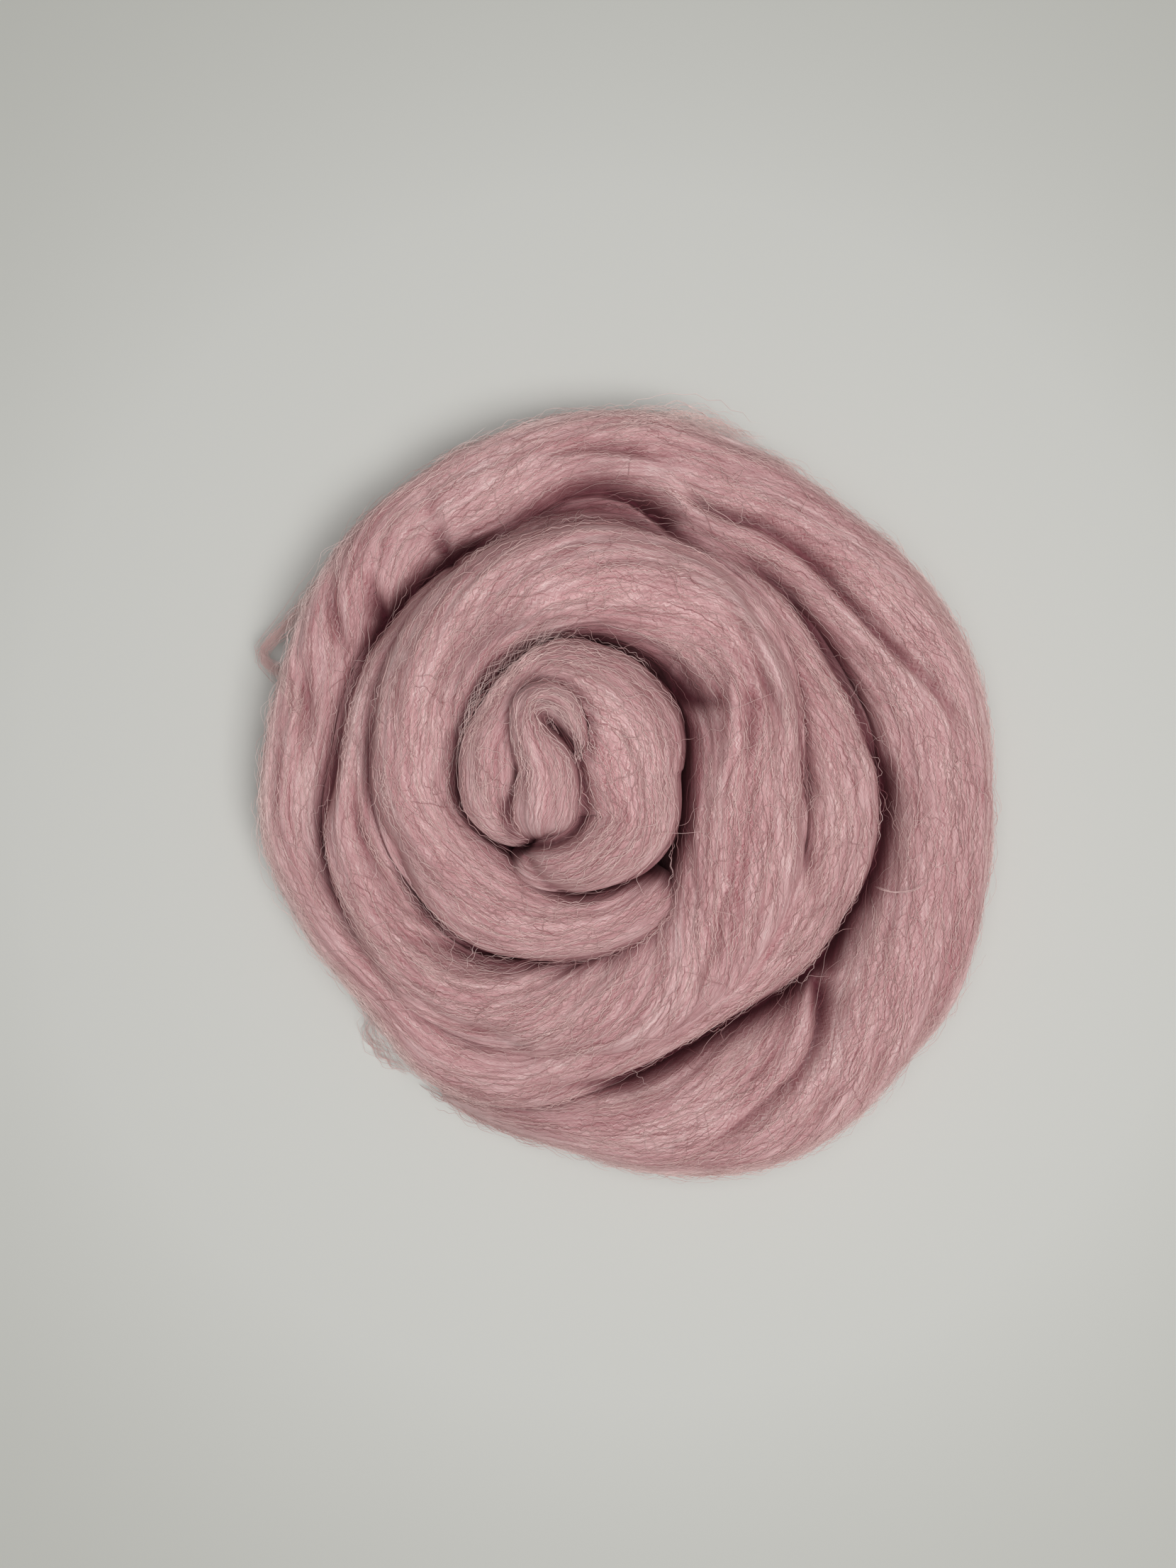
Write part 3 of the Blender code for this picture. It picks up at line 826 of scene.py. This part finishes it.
# Painted light: the pale colour that the wool is mixed towards near the outline, for light coming
# up through thin wool.
WOOL_THIN_PAINTED_LIGHT = "#FBE9E4"
WOOL_SHEEN = "#E8AFAA"
WOOL_SURFACE = {
    "Roughness": 0.85,
    "IOR": 1.54,
    "Specular IOR Level": 0.2,
    "Sheen Weight": 0.12,
    "Sheen Roughness": 0.5,
    "Sheen Tint": linear(WOOL_SHEEN),
}
CRIMP_LENGTH = 1.8 * MM
CRIMP_SIDEWAYS = 0.2 * MM
CRIMP_PATCHES_PER_METRE = 110.0
CRIMP_OUT_OF_STEP = 11.0
STREAK_WIDTH = 0.3 * MM
# Painted shade: how far down the ramp, towards the deep colour, the deepest crease takes the wool.
PAINTED_SHADE_IN_CREASES = -0.35
# Painted light: how much of the pale colour the wool takes at the outline.
PAINTED_LIGHT_SHARE_OF_MASS = 0.55
RELIEF_STRENGTH = 0.8
RELIEF_HEIGHT = 0.45 * MM
RELIEF_OF_TUFTS = 1.2


def maths(tree, operation, *values):
    """One Math node over values or sockets."""
    node = tree.nodes.new("ShaderNodeMath")
    node.operation = operation
    for slot, value in enumerate(values):
        if isinstance(value, (int, float)):
            node.inputs[slot].default_value = value
        else:
            tree.links.new(value, node.inputs[slot])
    return node.outputs[0]


def stored(tree, name):
    """The value that each point of the mesh has under that name."""
    return add_node(tree, "ShaderNodeAttribute", {"attribute_name": name}).outputs["Fac"]


def mixed_with(tree, colour, other, share):
    """The colour mixed with another by a share that changes over the wool."""
    mix = add_node(tree, "ShaderNodeMix", {"data_type": "RGBA"}, links={"Factor": share})
    tree.links.new(colour, mix.inputs[6])
    mix.inputs[7].default_value = linear(other)
    return mix.outputs[2]


def finish_wool(tree, colour, crease, painted_light_share, surface):
    """The shader of wool with painted shade in its creases and painted light where it is thin.

    The deeper colour in a crease is painted shade, for light at the bottom of a crease that has
    passed many dyed fibres. Towards the outline the wool thins out, and its paler colour there is
    painted light, for light that comes up through it from the pale table.
    """
    shader = tree.nodes["Principled BSDF"]
    thin = maths(tree, "MULTIPLY", stored(tree, "thin_edge_painted_light"), painted_light_share)
    # Painted shade in the creases, then painted light where the wool is thin.
    colour = mixed_with(tree, mixed_with(tree, colour, WOOL_PAINTED_CREASE_SHADE, crease), WOOL_THIN_PAINTED_LIGHT, thin)
    tree.links.new(colour, shader.inputs["Base Color"])
    for socket, value in surface.items():
        shader.inputs[socket].default_value = value
    return shader


def wool_material(name):
    """Streaks in the dye and between the fibres, on four scales, along the strand's own map."""
    wool = bpy.data.materials.new(name)
    wool.use_nodes = True
    tree = wool.node_tree
    uv = add_node(tree, "ShaderNodeUVMap", {"uv_map": "along_and_across"}).outputs[0]
    split = add_node(tree, "ShaderNodeSeparateXYZ", links={"Vector": uv})
    along, across = split.outputs["X"], split.outputs["Y"]

    # Crimp: each fibre waves sideways as it runs, and its neighbours a little out of step.
    drift = add_node(
        tree,
        "ShaderNodeTexNoise",
        values={"Scale": CRIMP_PATCHES_PER_METRE, "Detail": 1.0},
        links={"Vector": uv},
    )
    waves = maths(tree, "MULTIPLY", along, 2 * np.pi / CRIMP_LENGTH)
    phase = maths(tree, "MULTIPLY_ADD", drift.outputs["Fac"], CRIMP_OUT_OF_STEP, waves)
    crimped = maths(tree, "MULTIPLY_ADD", maths(tree, "SINE", phase), CRIMP_SIDEWAYS, across)

    def streaks(length, width, slant=0.0, detail=2.0, line=across):
        """Noise drawn out along the fibres, which lean aside by the slant."""
        leaning = maths(tree, "MULTIPLY_ADD", along, slant, line)
        place = add_node(
            tree,
            "ShaderNodeCombineXYZ",
            links={
                "X": maths(tree, "MULTIPLY", along, 1 / length),
                "Y": maths(tree, "MULTIPLY", leaning, 1 / width),
            },
        )
        noise = add_node(
            tree,
            "ShaderNodeTexNoise",
            values={"Scale": 1.0, "Detail": detail, "Roughness": 0.55},
            links={"Vector": place.outputs[0]},
        )
        return noise.outputs["Fac"]

    leaning_in = streaks(length=7 * MM, width=STREAK_WIDTH, slant=0.14, line=crimped)
    leaning_out = streaks(length=7 * MM, width=STREAK_WIDTH, slant=-0.16, line=crimped)
    straight = streaks(length=10 * MM, width=STREAK_WIDTH, line=crimped)
    fibres = maths(tree, "MAXIMUM", maths(tree, "MAXIMUM", leaning_in, leaning_out), straight)
    tufts = streaks(length=20 * MM, width=0.9 * MM, slant=0.03)
    locks = streaks(length=45 * MM, width=3.5 * MM)
    patches = streaks(length=70 * MM, width=15 * MM, detail=1.0)
    shade = 0.5
    for noise, middle, weight in (
        # noise, its middle value, its weight
        (fibres, 0.59, 1.7),
        (tufts, 0.5, 0.45),
        (locks, 0.5, 0.5),
        (patches, 0.5, 0.4),
    ):
        shade = maths(tree, "MULTIPLY_ADD", maths(tree, "SUBTRACT", noise, middle), weight, shade)
    # Painted shade: the deeper the wool lies in a crease, the further down the ramp towards the
    # deep colour it goes.
    crease = stored(tree, "painted_crease_shade")
    shade = maths(tree, "MULTIPLY_ADD", crease, PAINTED_SHADE_IN_CREASES, shade)
    colour = colour_ramp(tree, shade, (0.1, WOOL_DEEP), (0.5, WOOL_MID), (0.9, WOOL_PALE))
    shader = finish_wool(tree, colour, crease, PAINTED_LIGHT_SHARE_OF_MASS, WOOL_SURFACE)

    relief = maths(tree, "MULTIPLY_ADD", tufts, RELIEF_OF_TUFTS, fibres)
    bump = add_node(
        tree,
        "ShaderNodeBump",
        values={"Strength": RELIEF_STRENGTH, "Distance": RELIEF_HEIGHT},
        links={"Height": relief},
    )
    tree.links.new(bump.outputs["Normal"], shader.inputs["Normal"])
    return wool


def add_to_coil(name, mesh, wool):
    """A piece of the visual model that stands for part of the coil."""
    mesh.materials.append(wool)
    piece = bpy.data.objects.new(name, mesh)
    bpy.context.collection.objects.link(piece)
    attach(piece, "root")
    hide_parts("roving_coil")


TUCK_DEPTHS = (0.1 * MM, 0.5 * MM, 1.5 * MM)


def cut_turn(skin, normals, uv, start, end):
    """Part of the strand's skin, with both ends run on a few rings under its neighbours."""
    tuck = len(TUCK_DEPTHS)
    index = np.clip(np.arange(start - tuck, end + tuck + 1), 0, len(skin) - 1)
    sunk = np.zeros(len(index))
    sunk[:tuck] = TUCK_DEPTHS[::-1]
    sunk[-tuck:] = TUCK_DEPTHS
    keep = np.concatenate([[True], np.diff(index) > 0])
    index, sunk = index[keep], sunk[keep]
    ends = skin[index] - normals[index] * sunk[:, None, None]
    ends[..., 2] = np.maximum(ends[..., 2], 0)
    return ends, uv[index]


# The turns are one strand, so they share one skin, which is cut where each begins and ends. The
# coil is then moved so that the middle of its box is the origin, and the eye lies beside it.
TURNS_SEED = 11
turn_rows = in_metres(sum(TURNS.values(), ()), by_bearing=True)
route, run_length, row_places = smooth_rows(turn_rows, RING_STEP)
skin, uv = strand_skin(route, run_length, TURNS_SEED)
eye = -(skin[..., :2].min(axis=(0, 1)) + skin[..., :2].max(axis=(0, 1))) / 2
skin[..., :2] += eye
first_rows = np.cumsum([0] + [len(turn) for turn in TURNS.values()])
spans = {
    name: (row_places[first], row_places[min(last, len(row_places) - 1)])
    for name, first, last in zip(TURNS, first_rows[:-1], first_rows[1:])
}
strands = {
    name: (skin[start : end + 1], route[start : end + 1, 5]) for name, (start, end) in spans.items()
}

CROWN = (
    # name, table, seed
    ("crown_ring", CROWN_RING, 31),
    ("folded_end", FOLDED_END, 41),
)
crown = {}
for name, table, seed in CROWN:
    crown_route, crown_run, _ = smooth_rows(in_metres(table), CROWN_RING_STEP)
    crown_skin, crown_uv = strand_skin(crown_route, crown_run, seed)
    crown_skin[..., :2] += eye
    crown[name] = (crown_skin, crown_uv)
    strands[name] = (crown_skin, crown_route[:, 5])

# The radius of the hollows that a skin is stretched over, and how much it is blurred after that.
SETTLING_HOLLOWS = (9 * MM, 1.5 * MM)
NARROW_HOLLOWS = (3.5 * MM, 1 * MM)
BROAD_HOLLOWS = (12 * MM, 2 * MM)

# The maps before the wool settles, and its skins once it has.
ground, _, _ = seen_from_above(strands.values())
over_broad = skin_over(ground, *SETTLING_HOLLOWS)
covered = cover(ground)
skin = press(skin)
normals = outward_normals(skin)
skins = {
    name: (skin[start : end + 1], normals[start : end + 1]) for name, (start, end) in spans.items()
}
cuts = {name: cut_turn(skin, normals, uv, start, end) for name, (start, end) in spans.items()}
for name, (crown_skin, crown_uv) in crown.items():
    crown_skin = press(crown_skin)
    skins[name] = (crown_skin, outward_normals(crown_skin))
    cuts[name] = (crown_skin, crown_uv)

# The maps after it has settled, which the colour of the wool and the fibres on it follow.
settled = [(skins[name][0], lay) for name, (_, lay) in strands.items()]
ground, heading, owner = seen_from_above(settled)
over_narrow = skin_over(ground, *NARROW_HOLLOWS)
over_broad = skin_over(ground, *BROAD_HOLLOWS)
covered = cover(ground)

combed_wool = wool_material("combed_dyed_merino")
for name, (skin, uv) in cuts.items():
    add_to_coil(name, strand_mesh(name, skin, uv), combed_wool)


# ---------------------------------------------------------------------------------------------
# The fibres on the wool: merino is 20 micrometres thick, too fine to draw, so each stands for a
# few side by side, a tenth to a fifth of a millimetre wide. The comb laid most of them along the
# strand, and handling has pulled some loose across it.
# ---------------------------------------------------------------------------------------------
FIBRE_END_THICKNESS = 0.12
FIBRE_TAPER = 5
FIBRE_CORNERS = (90, 210, 330)
FIBRE_CELL_SHARE = 0.92
FIBRE_WALL_SHARE = 0.9
FIBRE_ENDS_LAID = (((0.0, 0.78), (0.0, 0.95), (0.3, 0.78)), ((0.5, 0.78), (0.8, 0.78), (0.5, 0.95)))
FIBRES_THIN_FROM = (9 * MM, 20 * MM)


def fibre_mesh(name, centres, widths, dye):
    """Fibres as closed three-sided tubes, thinning to both ends, each with its own depth of dye.

    The corners stand round the centre line at even angles, at half the width from it. On both
    maps each fibre is laid out flat in its own cell of the unit square: three walls in strips,
    then the two ends.
    """
    count, steps, _ = centres.shape
    along = unit(np.gradient(centres, axis=1))
    side = unit(np.cross(along, [0, 0, 1.0]))
    above = np.cross(side, along)
    t = np.linspace(0, 1, steps)
    taper = np.minimum(1, FIBRE_END_THICKNESS + FIBRE_TAPER * np.minimum(t, 1 - t))[None, :, None]
    corner = np.radians(FIBRE_CORNERS)[None, None, :, None]
    radius = (widths[:, None, None] / 2 * taper)[..., None]
    around = side[:, :, None] * np.cos(corner) + above[:, :, None] * np.sin(corner)
    points = centres[:, :, None] + radius * around
    first = np.arange(count * steps * 3).reshape(count, steps, 3)
    following = np.roll(first, -1, axis=2)
    walls = np.stack([first[:, :-1], following[:, :-1], following[:, 1:], first[:, 1:]], axis=-1)
    ends = np.concatenate([first[:, 0, ::-1], first[:, -1]])
    loops = np.concatenate([walls.ravel(), ends.ravel()])
    sizes = np.concatenate([np.full(walls.size // 4, 4), np.full(len(ends), 3)])
    mesh = mesh_of(name, points, loops, sizes)
    mesh.polygons.foreach_set("use_smooth", np.ones(len(sizes), bool))

    cells_a_side = int(np.ceil(np.sqrt(count)))
    origin = np.stack([np.arange(count) % cells_a_side, np.arange(count) // cells_a_side], axis=-1)
    run = np.arange(steps - 1)[:, None]
    strip = np.arange(3)[None]
    quad = np.array([[0, 0], [0, FIBRE_WALL_SHARE], [1, FIBRE_WALL_SHARE], [1, 0]])
    wall_map = np.stack(np.broadcast_arrays(run, strip), axis=-1)[:, :, None] + quad
    wall_map = wall_map / [steps - 1, 4]

    def in_each_cell(shape, corners_of_face):
        """The same faces in every fibre's cell."""
        shape = shape.reshape(1, -1, corners_of_face, 2)
        return (origin[:, None, None] + FIBRE_CELL_SHARE * shape).reshape(-1, 2)

    start_map, end_map = np.array(FIBRE_ENDS_LAID)
    laid = [in_each_cell(wall_map, 4), in_each_cell(start_map, 3), in_each_cell(end_map, 3)]
    for map_name in ("along_fibre", "OFBake"):
        add_map(mesh, map_name, np.concatenate(laid) / cells_a_side)
    mesh.uv_layers["along_fibre"].active_render = True

    # Painted shade: how deep each point of a fibre lies in a crease.
    add_values(mesh, "painted_crease_shade", painted_crease_shade(points))
    # Painted light near the outline, on fibres that lie high above the table.
    add_values(mesh, "thin_edge_painted_light", thin_edge_painted_light(points, rising(points[..., 2], *FIBRES_THIN_FROM)))
    add_values(mesh, "dye", np.repeat(dye, steps * 3))
    mesh.update()
    return mesh


FIBRE_PALE = "#F3D8D4"
FIBRE_DEEP = "#AD7074"
FIBRE_SURFACE = {"Roughness": 0.8, "IOR": 1.54, "Specular IOR Level": 0.2}
# Painted light: how much of the pale colour a fibre takes at the outline.
PAINTED_LIGHT_SHARE_OF_FIBRES = 0.85


def fibre_material(name):
    """Single dyed fibres: matt and a little paler than the mass, since light goes through each."""
    wool = bpy.data.materials.new(name)
    wool.use_nodes = True
    tree = wool.node_tree
    crease = stored(tree, "painted_crease_shade")
    # Painted shade: a fibre's colour runs towards the deep end the deeper it lies in a crease, on
    # top of its own dye.
    shade = maths(tree, "ADD", stored(tree, "dye"), crease)
    colour = colour_ramp(tree, shade, (0, FIBRE_PALE), (1, FIBRE_DEEP))
    finish_wool(tree, colour, crease, PAINTED_LIGHT_SHARE_OF_FIBRES, FIBRE_SURFACE)
    return wool


fibre_wool = fibre_material("single_merino_fibres")

FIBRE_SEED = 5
rng = np.random.default_rng(FIBRE_SEED)

FIBRE_STEPS = 15
SWING_LENGTH = (8 * MM, 20 * MM)
FIBRE_CRIMP_LENGTH = (3.2 * MM, 5.5 * MM)
STRETCHED_OVER = (1, 2, 3, 4, 3, 2, 1)
BRIDGE_HEIGHT = 1.3 * MM
BRIDGING_SHARE = 0.3
LOWEST_FIBRE = 4 * MM
FIBRE_DYE = (0.9, 1.6)


def walk(x, y, length, turn, bend, crimp):
    """Fibres that run along the wool from their first place.

    Each starts at its own angle to the wool's heading there and swings slowly to and fro by its
    bend, and crimp waves it sideways. Angles are in radians.
    """
    count = len(x)
    step = length / (FIBRE_STEPS - 1)
    long_wave = rng.uniform(*SWING_LENGTH, count)
    long_phase, crimp_phase = rng.uniform(0, 2 * np.pi, (2, count))
    crimp_wave = rng.uniform(*FIBRE_CRIMP_LENGTH, count)
    path = [np.stack([x, y], axis=-1)]
    last = read_grid(heading, x, y)
    for number in range(FIBRE_STEPS - 1):
        here = path[-1]
        # A fibre that has run off the wool keeps the heading it had on it.
        wool = read_grid(heading, here[:, 0], here[:, 1])
        last = np.where(np.linalg.norm(wool, axis=1, keepdims=True) > 0.5, wool, last)
        run = number * step
        angle = np.arctan2(last[:, 1], last[:, 0]) + turn
        angle += bend * np.sin(2 * np.pi * run / long_wave + long_phase)
        angle += crimp * np.cos(2 * np.pi * run / crimp_wave + crimp_phase)
        path.append(here + step[:, None] * np.stack([np.cos(angle), np.sin(angle)], axis=-1))
    return np.stack(path, axis=1)


def drape(path):
    """The height of fibres that lie on the wool and are stretched over its creases.

    A point that lies lower than halfway between two others on its fibre is lifted there.
    """
    height = read_grid(ground, path[..., 0], path[..., 1])
    for reach in STRETCHED_OVER:
        between = (height[:, 2 * reach :] + height[:, : -2 * reach]) / 2
        height[:, reach:-reach] = np.maximum(height[:, reach:-reach], between)
    return height


def fibres_on(number, count, length, turn, bend, crimp, lift, width):
    """Fibres spread evenly over what shows of one piece of the strand.

    Each is lifted off the wool most in its middle, by the root of a half wave.
    """
    rows, columns = np.nonzero(owner == number)
    chosen = rng.integers(0, len(rows), count)
    x, y = ((side[chosen] + rng.uniform(0, 1, count)) * CELL - HALF_MAP for side in (rows, columns))
    long = rng.uniform(*length, count)
    turns = rng.normal(0, turn, count)
    path = walk(x, y, long, turns, rng.uniform(0, bend, count), rng.uniform(0, crimp, count))
    t = np.linspace(0, 1, FIBRE_STEPS)
    proud = rng.uniform(*lift, count)[:, None] * np.sin(np.pi * t) ** 0.5
    under, height = read_grid(ground, path[..., 0], path[..., 1]), drape(path)
    centres = np.concatenate([path, (height + proud)[..., None]], axis=-1)
    # Few fibres bridge a crease: most of those that would are left out.
    lies_close = (height - under).max(axis=1) < BRIDGE_HEIGHT
    kept = lies_close | (rng.uniform(0, 1, count) < BRIDGING_SHARE)
    kept &= under.min(axis=1) > LOWEST_FIBRE
    return centres[kept], rng.uniform(*width, kept.sum()), rng.beta(*FIBRE_DYE, kept.sum())


FIBRES_ON = (
    # piece, combed, loose
    ("outer_turn", 1900, 600),
    ("second_turn", 1000, 420),
    ("third_turn", 1300, 520),
    ("crown_ring", 560, 200),
    ("folded_end", 160, 36),
)
COMBED = dict(
    length=(10 * MM, 24 * MM),
    turn=0.13,
    bend=0.25,
    crimp=0.6,
    lift=(0.1 * MM, 0.5 * MM),
    width=(0.13 * MM, 0.22 * MM),
)
LOOSE = dict(
    length=(7 * MM, 18 * MM),
    turn=0.6,
    bend=0.8,
    crimp=0.9,
    lift=(0.1 * MM, 0.8 * MM),
    width=(0.1 * MM, 0.17 * MM),
)

for number, (name, combed_count, loose_count) in enumerate(FIBRES_ON):
    for kind, count, manner in (("combed", combed_count, COMBED), ("loose", loose_count, LOOSE)):
        piece_name = f"{name}_{kind}_fibres"
        fibres = fibres_on(number, count, **manner)
        add_to_coil(piece_name, fibre_mesh(piece_name, *fibres), fibre_wool)


# ---------------------------------------------------------------------------------------------
# The fibres of the outline: short ends that stand away from the flank all round the coil and
# soften it. Handling pulls them out of the strand, and the rest of each still holds in it.
# ---------------------------------------------------------------------------------------------
OUTLINE_FIBRES = 2900
OUTLINE_STEPS = 8
FLANK_COLUMNS = 30
ROOT_DEPTH = 0.4 * MM
OUTLINE_LENGTH = (4 * MM, 12 * MM)
OUTLINE_WIDTH = (0.08 * MM, 0.14 * MM)
OUTLINE_DYE = (1.2, 3)
STEEPEST_SLANT = 0.4
SLANTS = (1.2, 2.6)
ARC_TURNS = (0.5, 1.1)
WAVE_HEIGHT = (0.05 * MM, 0.3 * MM)
WAVE_LENGTH = (3.5 * MM, 7 * MM)
TABLE_GAP = 0.2 * MM


def flank_fibres(count):
    """Fibres that leave the outer flank at a slant and curl in the air a few millimetres away.

    A fibre runs along the strand, its distance from the flank is part of a sine arc times its
    slant, and a small sine wave sways it sideways.
    """
    skin, normals = skins["outer_turn"]
    i = rng.integers(2, len(skin) - 2, count)
    j = rng.integers(0, FLANK_COLUMNS, count)
    root, out = skin[i, j], normals[i, j]
    along = unit(skin[i + 1, j] - skin[i - 1, j])
    way = np.sign(rng.uniform(-1, 1, count))[:, None]
    length = rng.uniform(*OUTLINE_LENGTH, count)[:, None]
    t = np.linspace(0, 1, OUTLINE_STEPS)[None, :, None]
    slant = STEEPEST_SLANT * rng.beta(*SLANTS, count)[:, None]
    path = (root - out * ROOT_DEPTH)[:, None] + (along * way * length)[:, None] * t
    arc = np.sin(np.pi * t * rng.uniform(*ARC_TURNS, count)[:, None, None])
    path = path + (out * slant * length)[:, None] * arc
    wave_height = rng.uniform(*WAVE_HEIGHT, (count, 1, 1))
    waves = (length / rng.uniform(*WAVE_LENGTH, (count, 1)))[:, None]
    sway = wave_height * np.sin(2 * np.pi * (t * waves + rng.uniform(0, 1, (count, 1, 1))))
    path = path + np.cross(along, [0, 0, 1.0])[:, None] * sway
    path[..., 2] = np.maximum(path[..., 2], TABLE_GAP)
    return path, rng.uniform(*OUTLINE_WIDTH, count), rng.beta(*OUTLINE_DYE, count)


outline = fibre_mesh("outline_fibres", *flank_fibres(OUTLINE_FIBRES))
add_to_coil("outline_fibres", outline, fibre_wool)


# ---------------------------------------------------------------------------------------------
# The wisps: thin locks teased out of the strand by hand, such as the small loop at the left and
# the tuft at the top. Each is a bundle of fibres that follow one path and part at its ends.
# ---------------------------------------------------------------------------------------------
WISPS = (
    # fibres in it, then rows of right, up, height, spread
    # the loop at the left
    (85, ((-66, 68, 24, 2.5), (-76, 59, 17, 2.5), (-84, 51, 12, 2.2), (-91, 45, 9, 1.8),
          (-94.5, 41, 8, 1.5), (-92, 37, 8, 1.6), (-86, 33, 10, 2.2), (-81, 27, 14, 2.4),
          (-79, 16, 18, 2.5))),
    # the tuft at the top
    (70, ((8, 101, 29, 3), (20, 106, 27, 3), (32, 110, 22, 3), (43, 109, 18, 3),
          (51, 105, 19, 2.5), (58, 101, 23, 2))),
    # the thin locks at the lower left
    (80, ((-70, -50, 16, 3), (-62, -64, 11, 3), (-54, -76, 7, 3), (-47, -86, 4, 3),
          (-40, -92, 3, 2.5), (-28, -96, 3, 2.5), (-16, -98, 6, 2))),
    (22, ((-54, -66, 8, 2.5), (-61, -72, 3, 3), (-62, -79, 1.5, 3), (-55, -86, 2, 3),
          (-46, -89, 4, 2.5))),
    # a few fibres that arch over the turns at the right
    (4, ((86, -28, 34, 0.3), (93, -30, 35, 0.3), (99, -29, 35.5, 0.3), (103, -26, 35, 0.3),
         (105, -22.5, 34, 0.3))),
    # loose wool over the part at the crown's upper left
    (45, ((4, 46, 49, 3), (-6, 41, 50, 3.5), (-15, 34, 51, 4), (-22, 26, 52, 4),
          (-27, 16, 51, 3), (-30, 5, 49, 2.5))),
    # pale fibres round the curl of the folded end
    (14, ((-10, 14, 62, 1.4), (-9, 19.5, 63, 1.4), (-5.5, 21.5, 63.5, 1.4), (-1.6, 19.5, 63.5, 1.3),
          (1.2, 15.5, 62.5, 1.1), (3, 11.5, 61, 0.9))),
)
WISP_STEP = 0.5 * MM
WISP_SHARE = (0.35, 0.9)
WISP_WAVE_LENGTH = (4 * MM, 9 * MM)
WISP_SWAY = 0.25
WISP_BREADTH = 0.6
WISP_PARTING = 0.35
WISP_FLATNESS = 0.4
WISP_WIDTH = (0.09 * MM, 0.16 * MM)
WISP_DYE = (1, 6)
WISP_OFF_TABLE = 0.3 * MM
WISP_OFF_WOOL = 0.1 * MM


def wisp_fibres(count, rows):
    """Fibres side by side along one path, each for a part of its length.

    Each keeps its own distance aside, changes it a little from end to end and sways about it by a
    sine wave, all in shares of the bundle's spread.
    """
    middle, run, _ = smooth_rows(np.array(rows, float) * MM, WISP_STEP)
    length = run[-1] * rng.uniform(*WISP_SHARE, count)
    start = (run[-1] - length) * rng.uniform(0, 1, count)
    t = np.linspace(0, 1, FIBRE_STEPS)[None]
    at = start[:, None] + length[:, None] * t
    x, y, z, spread = (np.interp(at, run, column) for column in middle.T)
    along = unit(np.stack([np.gradient(x, axis=1), np.gradient(y, axis=1)], axis=-1))
    wave = rng.uniform(*WISP_WAVE_LENGTH, count)[:, None]
    sway = WISP_SWAY * np.sin(2 * np.pi * (at / wave + rng.uniform(0, 1, count)[:, None]))
    aside = rng.normal(0, WISP_BREADTH, count)[:, None]
    parting = rng.normal(0, WISP_PARTING, count)[:, None] * (t - 0.5)
    offset = (aside + parting + sway) * spread
    x, y = x - along[..., 1] * offset, y + along[..., 0] * offset
    above = WISP_FLATNESS * spread * rng.normal(0, WISP_BREADTH, count)[:, None]
    z = np.maximum(z + above, WISP_OFF_TABLE)
    x, y = x + eye[0], y + eye[1]
    z = np.maximum(z, read_grid(ground, x, y) + WISP_OFF_WOOL)
    return np.stack([x, y, z], axis=-1), rng.uniform(*WISP_WIDTH, count), rng.beta(*WISP_DYE, count)


wisps = zip(*[wisp_fibres(*wisp) for wisp in WISPS])
teased = fibre_mesh("teased_wisps", *(np.concatenate(parts) for parts in wisps))
add_to_coil("teased_wisps", teased, fibre_wool)
